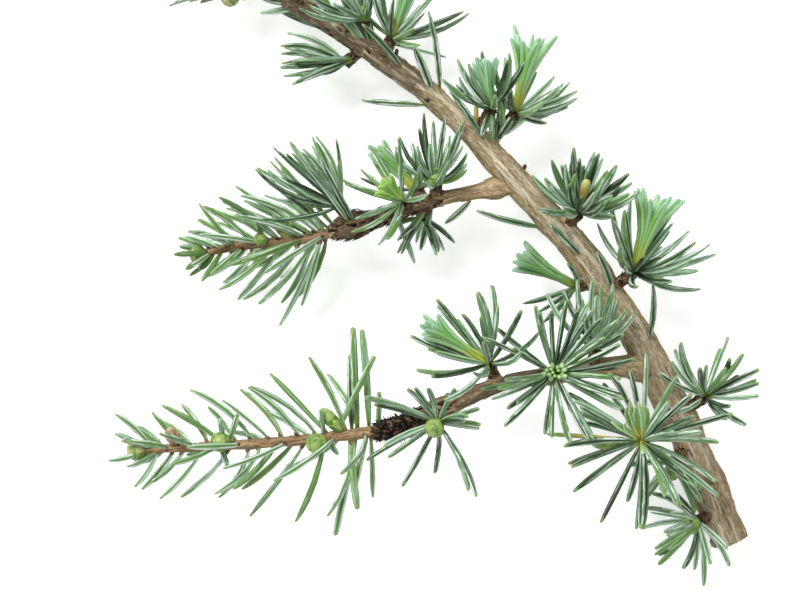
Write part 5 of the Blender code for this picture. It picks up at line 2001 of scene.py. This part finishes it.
@lru_cache
def bud_scale_template():
    """A living bud's scale, rounder than an old one, to lie close over the bud: x is how far round it
    reaches, and y how far out."""
    shape = bmesh.new()
    bmesh.ops.create_grid(shape, x_segments=4, y_segments=5, size=0.5)
    for vertex in shape.verts:
        share = vertex.co.y + 0.5
        off = 2 * abs(share - BUD_SCALE_BROADEST) / BUD_SCALE_OVAL
        width = math.sqrt(max(1.0 - off**2, 0.0))
        vertex.co = (vertex.co.x * width, 0.0, share)
    bmesh.ops.remove_doubles(shape, verts=shape.verts, dist=SAME_PLACE)
    shape.normal_update()
    bmesh.ops.solidify(shape, geom=list(shape.faces), thickness=BUD_SCALE_THICKNESS)
    return template_from(shape)


@lru_cache
def egg_template():
    """The egg inside a bud, one unit long, with a radius of one."""
    shape = bmesh.new()
    bmesh.ops.create_uvsphere(shape, u_segments=20, v_segments=14, radius=1.0)
    for vertex in shape.verts:
        vertex.co.z = (vertex.co.z + 1) / 2
    return template_from(shape)


def bud_finish(chance, row, papery):
    """The finish of a scale: green or lime, or papery further up, or dry on a bud that is all dry."""
    dry = chance.random() < papery * (BUD_DRY_FROM + row / (BUD_ROWS - 1))
    if papery == 1:
        return DRY
    return PAPERY if dry else chance.choice((GREEN, GREEN, LIME))


def grow_bud(spray, foot, axis, radius, length, chance, papery):
    """A bud: an egg in rows of scales, each wrapped on it and lifted a little at its edge. papery is the
    share of them that are dry."""
    side, up = across(axis, UP)
    egg = egg_template()
    core = radius * BUD_CORE
    basis = np.array([np.array(side) * core, np.array(up) * core, np.array(axis) * length])
    size = np.array([radius, radius, length])
    spray.add(egg, egg.points @ basis + np.array(foot), [GREEN if papery < 1 else DRY], size)
    template = bud_scale_template()
    margins = np.maximum(np.abs(template.points[:, 0]) * 2, template.points[:, 2])
    for row in range(BUD_ROWS):
        low = BUD_LOWEST + BUD_ROWS_REACH * row / BUD_ROWS
        for k in range(BUD_ROUND):
            stray = chance.uniform(-BUD_TURN, BUD_TURN)
            turn = math.radians(k * 360 / BUD_ROUND + row * BUD_ROW_TURN + stray)
            points = np.empty_like(template.points)
            base = 1.0 + BUD_ROW_LIFT * row / BUD_ROWS
            for i, (x, y, z) in enumerate(template.points):
                high = min(low + BUD_SCALE_REACH * z, BUD_TOP)
                round_here = math.sqrt(max(1.0 - (2 * high - 1) ** 2, 0.0))
                lift = base + BUD_BULGE * (1 - (2 * x) ** 2) + BUD_LIFT * z + y
                out = swing(side, up, turn + x * BUD_WRAP)
                points[i] = Vector(foot) + axis * (length * high) + out * (radius * round_here * lift)
            spray.add(template, points, [bud_finish(chance, row, papery)], size, margins)


@lru_cache
def bud_materials():
    look = bpy.context.scene.cedar_buds
    green, lime, tan = look.bud_green, look.bud_lime, look.bud_tan
    return [
        waxy_material("bud_green", green, lime, 0.4, 0.45, (green, lime, 0.0, 0.75)),
        waxy_material("bud_pale", lime, green, 0.5, 0.4, (green, lime, 0.3, 0.8)),
        waxy_material("bud_tan", tan, lime, 0.5, 0.3, (lime, look.scale_tan, 0.3, 0.75)),
        waxy_material("bud_dry", look.scale_tan, tan, 0.7, 0.2, (look.scale_brown, tan, 0.4, 0.85)),
    ]


END_BUD = (1.1, 2.4, 0.3, 0.4)  # radius, length and sink by the shoot's bud radius, and its papery share
SIDE_BUD_SEAT = 0.55  # by the shoot's radius
BUD_LEAN = 0.6  # how steeply a heart's bud rises, against its rosette
HEART_BUD_SINK, HEART_BUD_LENGTH = 0.0006, 0.0040
HEART_BUD_RADIUS, HEART_BUD_PAPERY = 1.05, 0.12  # by the heart's radius, and its papery share


class CEDAR_OT_buds(bpy.types.Operator):
    """Grows the buds at the shoots' ends and sides and in the rosettes' hearts"""

    bl_idname = "cedar.buds"
    bl_label = "Buds"

    def execute(self, context):
        grown = growth()
        chance = random.Random(76)
        spray = Spray(76)
        wide, long, sink, papery = END_BUD
        for shoot in LEAFY_SHOOTS:
            places = grown.shoots[shoot.name]
            end, line, _ = place_along(places, 1.0)
            foot = end - line * (sink * shoot.bud_radius)
            grow_bud(spray, foot, line, wide * shoot.bud_radius, long * shoot.bud_radius, chance, papery)
            for share, bearing, rise, radius in shoot.side_buds:
                centre, _, limb_radius = place_along(places, share)
                out = heading(bearing, rise)
                foot = centre + out * (SIDE_BUD_SEAT * limb_radius)
                length = BUD_SINK * (radius + limb_radius) + radius - SIDE_BUD_SEAT * limb_radius
                grow_bud(spray, foot, out, radius, length, chance, 0.0)
        for rosette in ROSETTES:
            if rosette.middle == "bud":
                axis = heading(rosette.bearing, BUD_LEAN * rosette.rise)
                foot = Vector(rosette.heart) - axis * HEART_BUD_SINK
                radius = rosette.heart_radius * HEART_BUD_RADIUS
                grow_bud(spray, foot, axis, radius, HEART_BUD_LENGTH, chance, HEART_BUD_PAPERY)
        for foot, bearing, rise, radius, length, papery in SPARE_BUDS:
            grow_bud(spray, Vector(foot), heading(bearing, rise), radius, length, chance, papery)
        finish_piece("buds", spray.mesh("buds"), bud_materials())
        return {"FINISHED"}


# Hearts.

CLUSTER = (15, 0.0030, 0.00112, 0.0023)  # how many, how long, how wide, and how far out the outermost stand
CLUSTER_INNER, CLUSTER_INNER_LENGTH = 5, 0.7  # how many stand greener in its middle, and shorter by this
CLUSTER_OVAL = (1.25, 0.8)
CLUSTER_ROOTS, CLUSTER_TIPS = 0.35, 0.65  # how far out their roots are, and how much further their tips
CLUSTER_LENGTHS, CLUSTER_WIDTHS = (0.8, 1.2), (0.8, 1.1)
CLUSTER_END_FROM = 0.974  # where a needle's round end starts
CURL_RIDGE_SHARE, CURL_FLATNESS = 26.0, 0.3  # per cent of a side, and by its width
SHEATH_BEND, SHEATH_FLATNESS, SHEATH_ROLL = 1.2, 0.85, 20.0
# The blades of a curl: (bearing, rise, length, width, how far they swell out, how far they hook in again).
CURL = (
    (88.0, 42.0, 0.0106, 0.0016, 0.0006, 0.0016),
    (106.0, 42.0, 0.0110, 0.0016, 0.0006, 0.0016),
    (97.0, 52.0, 0.0126, 0.0011, 0.0, 0.0010),
    (98.0, 34.0, 0.0094, 0.0012, 0.0002, 0.0008),
    (119.0, 34.0, 0.0108, 0.0012, 0.0009, 0.0024),
    (114.0, 40.0, 0.0122, 0.0010, 0.0004, 0.0012),
    (140.0, 32.0, 0.0072, 0.0011, 0.0006, 0.0018),
    (148.0, 22.0, 0.0080, 0.0012, 0.0003, 0.0003),
    (5.0, 20.0, 0.0044, 0.0012, 0.0, 0.0),
    (272.0, 30.0, 0.0030, 0.0012, 0.0, 0.0),
)


class CEDAR_OT_hearts(bpy.types.Operator):
    """Grows what shows in the open rosettes' hearts: clusters and curls of new needles, and dry sheaths"""

    bl_idname = "cedar.hearts"
    bl_label = "Rosette hearts"

    def execute(self, context):
        spray = Spray(77)
        chance = random.Random(77)
        for rosette in ROSETTES:
            if rosette.middle == "cluster":
                self.grow_cluster(spray, chance, rosette)
            elif rosette.middle == "curl":
                self.grow_curl(spray, rosette)
        template = needle_template(SHEATH)
        for foot, bearing, rise, length, width in SHEATHS:
            needle = bent_needle(Vector(foot), heading(bearing, rise), length, DOWN, SHEATH_BEND)
            dealt = palette("sheath", "sheath")
            set_needle(spray, template, needle, width, SHEATH_FLATNESS, SHEATH_ROLL, ODD_SWAY, dealt)
        finish_needles("rosette_hearts", spray)
        return {"FINISHED"}

    def grow_cluster(self, spray, chance, rosette):
        """Plump new needles packed in an oval, all ends up."""
        count, length, width, reach = CLUSTER
        template = needle_template(BUDDING, end_from=CLUSTER_END_FROM)
        axis = heading(rosette.bearing, rosette.rise)
        side, over = across(axis, Vector((0.0, 1.0, 0.0)))
        for k in range(count):
            share = math.sqrt((k + 0.5) / count)
            turn = math.radians(k * GOLDEN_ANGLE)
            out = side * (math.cos(turn) * CLUSTER_OVAL[0]) + over * (math.sin(turn) * CLUSTER_OVAL[1])
            root = Vector(rosette.heart) + out * (CLUSTER_ROOTS * reach * share)
            inner = k < CLUSTER_INNER
            tall = length * chance.uniform(*CLUSTER_LENGTHS) * (CLUSTER_INNER_LENGTH if inner else 1.0)
            tip = root + axis * tall + out * (CLUSTER_TIPS * reach * share)
            needle = Needle(root, root.lerp(tip, NEEDLE_BROADEST), tip)
            thick, roll = width * chance.uniform(*CLUSTER_WIDTHS), chance.uniform(0, 90)
            dealt = palette("fold", "lime", "lime") if inner else palette("rim", "rim", "centre")
            set_needle(spray, template, needle, thick, 1.0, roll, 0.0, dealt)

    def grow_curl(self, spray, rosette):
        """A cup of young blades that curl in at their tips."""
        template = needle_template(CUP, CURL_RIDGE_SHARE, folded=True)
        heart = Vector(rosette.heart)
        middle_line = heading(rosette.tuft.bearing, rosette.tuft.rise)
        for bearing, rise, length, width, swell, hook in CURL:
            axis = heading(bearing, rise)
            out = (axis - middle_line * axis.dot(middle_line)).normalized()
            middle = heart + axis * (length * NEEDLE_BROADEST) + out * swell
            tip = heart + axis * length + out * (swell - hook)
            needle = Needle(heart, middle, tip)
            dealt = palette("curl_edge", "curl_edge", "curl_edge", "curl", "lime")
            set_needle(spray, template, needle, width, CURL_FLATNESS, 0.0, 0.0, dealt)


# The cut end.

CUT_SIDES = 48
CUT_RADIUS = 0.9  # by the stem's
CUT_INSETS = (0.18, 0.22, 0.2, 0.2)  # the widths of the disc's bands from its rim in, by the stem's radius
CUT_THICKNESS, CUT_OUT = 0.0003, 0.00006  # how thick the fresh wood is, and how far out of the solid it lies
WOOD_RINGS, WOOD_RING_EDGE = 1250.0, (0.62, 0.96)  # rings to the metre, and where in each it darkens
PITH_EDGE = (0.0006, 0.0003)  # the radii where the pith starts and is full


class CEDAR_OT_cut(bpy.types.Operator):
    """Lays the fresh wood on the cut end, with its rings and pith"""

    bl_idname = "cedar.cut"
    bl_label = "Cut end"

    def execute(self, context):
        look = context.scene.cedar_bark
        places = growth().limbs["main_stem"]
        centre, line, radius = place_along(places, 0.0)
        shape = bmesh.new()
        bmesh.ops.create_circle(shape, cap_ends=True, segments=CUT_SIDES, radius=radius * CUT_RADIUS)
        disc = list(shape.faces)
        for inward in CUT_INSETS:
            bmesh.ops.inset_region(shape, faces=disc, thickness=radius * inward)
        side, up = across(line, UP)
        turned = Matrix((side, up, line)).transposed().to_4x4()
        laid = Matrix.Translation(centre - line * CUT_OUT) @ turned
        bmesh.ops.transform(shape, matrix=laid, verts=shape.verts)
        bmesh.ops.solidify(shape, geom=list(shape.faces), thickness=CUT_THICKNESS)
        bmesh.ops.recalc_face_normals(shape, faces=shape.faces)
        material = self.wood_material(look, centre + grown_at())
        finish_piece("cut_wood", mesh_from(shape, "cut_wood"), [material], smooth=False)
        return {"FINISHED"}

    def wood_material(self, look, pith_at):
        """Fresh wood with rings round the pith."""
        material, tree, shader = new_material("cut_wood")
        where = tree.nodes.new("ShaderNodeTexCoord")
        placed = tree.nodes.new("ShaderNodeMapping")
        placed.vector_type = "TEXTURE"
        placed.inputs["Location"].default_value = pith_at
        tree.links.new(where.outputs["Object"], placed.inputs["Vector"])
        off = add_vector_math(tree, "LENGTH", placed.outputs["Vector"]).outputs["Value"]
        rings = add_math(tree, "FRACT", add_math(tree, "MULTIPLY", off, WOOD_RINGS))
        mixed = add_mix(tree, add_ramp(tree, rings, *WOOD_RING_EDGE), look.wood_pale, look.wood_ring)
        with_pith = add_mix(tree, add_ramp(tree, off, *PITH_EDGE), mixed, look.wood_ring)
        tree.links.new(with_pith, shader.inputs["Base Color"])
        shader.inputs["Roughness"].default_value = 0.7
        return material


# The stage.

WHITE = (1.0, 1.0, 1.0, 1.0)
KEY_LIGHT = (0.5, (-0.45, 0.55, 0.85))  # how wide it is, and its place
FILL_LIGHT = (0.9, (0.75, -0.5, 0.7))
SENSOR_WIDTH = 36.0  # in millimetres, as a camera's lens
SEEN_FROM, SEEN_TO = 0.01, 50.0  # the nearest and the furthest that the camera sees


class CEDAR_OT_stage(bpy.types.Operator):
    """Lays the pale floor and sets the soft light and the camera that looks straight down"""

    bl_idname = "cedar.stage"
    bl_label = "Stage"

    def execute(self, context):
        look = context.scene.cedar_stage
        self.lay_floor(look)
        self.set_light(context, look)
        self.set_camera(context, look)
        return {"FINISHED"}

    def lay_floor(self, look):
        """Lays a matt floor that gives back a little light."""
        shape = bmesh.new()
        bmesh.ops.create_grid(shape, x_segments=1, y_segments=1, size=look.floor_side / 2)
        floor = bpy.data.objects.new("floor", mesh_from(shape, "floor"))
        material, _, shader = new_material("floor_white")
        shader.inputs["Base Color"].default_value = (*look.floor_white, 1.0)
        shader.inputs["Roughness"].default_value = 0.9
        shader.inputs["Specular IOR Level"].default_value = 0.1
        shader.inputs["Emission Color"].default_value = WHITE
        shader.inputs["Emission Strength"].default_value = look.floor_glow
        floor.data.materials.append(material)
        bpy.context.scene.collection.objects.link(floor)

    def add_area(self, name, power, size, place):
        """Hangs a round soft light that points at the branch."""
        light = bpy.data.lights.new(name, "AREA")
        light.energy = power
        light.shape = "DISK"
        light.size = size
        lamp = bpy.data.objects.new(name, light)
        lamp.location = place
        lamp.rotation_euler = (-Vector(place)).to_track_quat("-Z", "Y").to_euler()
        bpy.context.scene.collection.objects.link(lamp)

    def set_light(self, context, look):
        """Sets the two soft lights and an even white sky."""
        self.add_area("key_light", look.key_power, *KEY_LIGHT)
        self.add_area("fill_light", look.fill_power, *FILL_LIGHT)
        world = bpy.data.worlds.new("studio")
        world.use_nodes = True
        sky = world.node_tree.nodes["Background"]
        sky.inputs["Color"].default_value = WHITE
        sky.inputs["Strength"].default_value = look.sky_strength
        context.scene.world = world
        context.scene.view_settings.view_transform = "Standard"

    def set_camera(self, context, look):
        """Sets the camera over the layout's origin, looking straight down."""
        camera = bpy.data.cameras.new("camera")
        camera.sensor_width = SENSOR_WIDTH
        camera.lens = camera.sensor_width * look.camera_height / look.picture_width
        camera.clip_start, camera.clip_end = SEEN_FROM, SEEN_TO
        eye = bpy.data.objects.new("camera", camera)
        over = grown_at()
        eye.location = (over.x, over.y, look.middle_height + look.camera_height)
        context.scene.collection.objects.link(eye)
        context.scene.camera = eye


STEPS = (
    CEDAR_OT_bark,
    CEDAR_OT_spurs,
    CEDAR_OT_rosettes,
    CEDAR_OT_shoots,
    CEDAR_OT_lone_needles,
    CEDAR_OT_tufts,
    CEDAR_OT_hearts,
    CEDAR_OT_scales,
    CEDAR_OT_buds,
    CEDAR_OT_cut,
    CEDAR_OT_stage,
)
SETTINGS = {
    "cedar_bark": CedarBranchBark,
    "cedar_needles": CedarBranchNeedles,
    "cedar_buds": CedarBranchBuds,
    "cedar_stage": CedarBranchStage,
}


class CEDAR_PT_branch(bpy.types.Panel):
    """Lists the branch's operators in the sidebar"""

    bl_label = "Cedar Branch"
    bl_idname = "CEDAR_PT_branch"
    bl_space_type = "VIEW_3D"
    bl_region_type = "UI"
    bl_category = "Cedar"

    def draw(self, context):
        for step in STEPS:
            self.layout.operator(step.bl_idname)


def register():
    for made in (*SETTINGS.values(), *STEPS, CEDAR_PT_branch):
        bpy.utils.register_class(made)
    for name, settings in SETTINGS.items():
        setattr(bpy.types.Scene, name, PointerProperty(type=settings))


def unregister():
    for name in SETTINGS:
        delattr(bpy.types.Scene, name)
    for made in reversed((*SETTINGS.values(), *STEPS, CEDAR_PT_branch)):
        bpy.utils.unregister_class(made)


def main():
    register()
    bpy.ops.cedar.bark()
    bpy.ops.cedar.spurs()
    bpy.ops.cedar.rosettes()
    bpy.ops.cedar.shoots()
    bpy.ops.cedar.lone_needles()
    bpy.ops.cedar.tufts()
    bpy.ops.cedar.hearts()
    bpy.ops.cedar.scales()
    bpy.ops.cedar.buds()
    bpy.ops.cedar.cut()
    bpy.ops.cedar.stage()


if __name__ == "__main__":
    main()
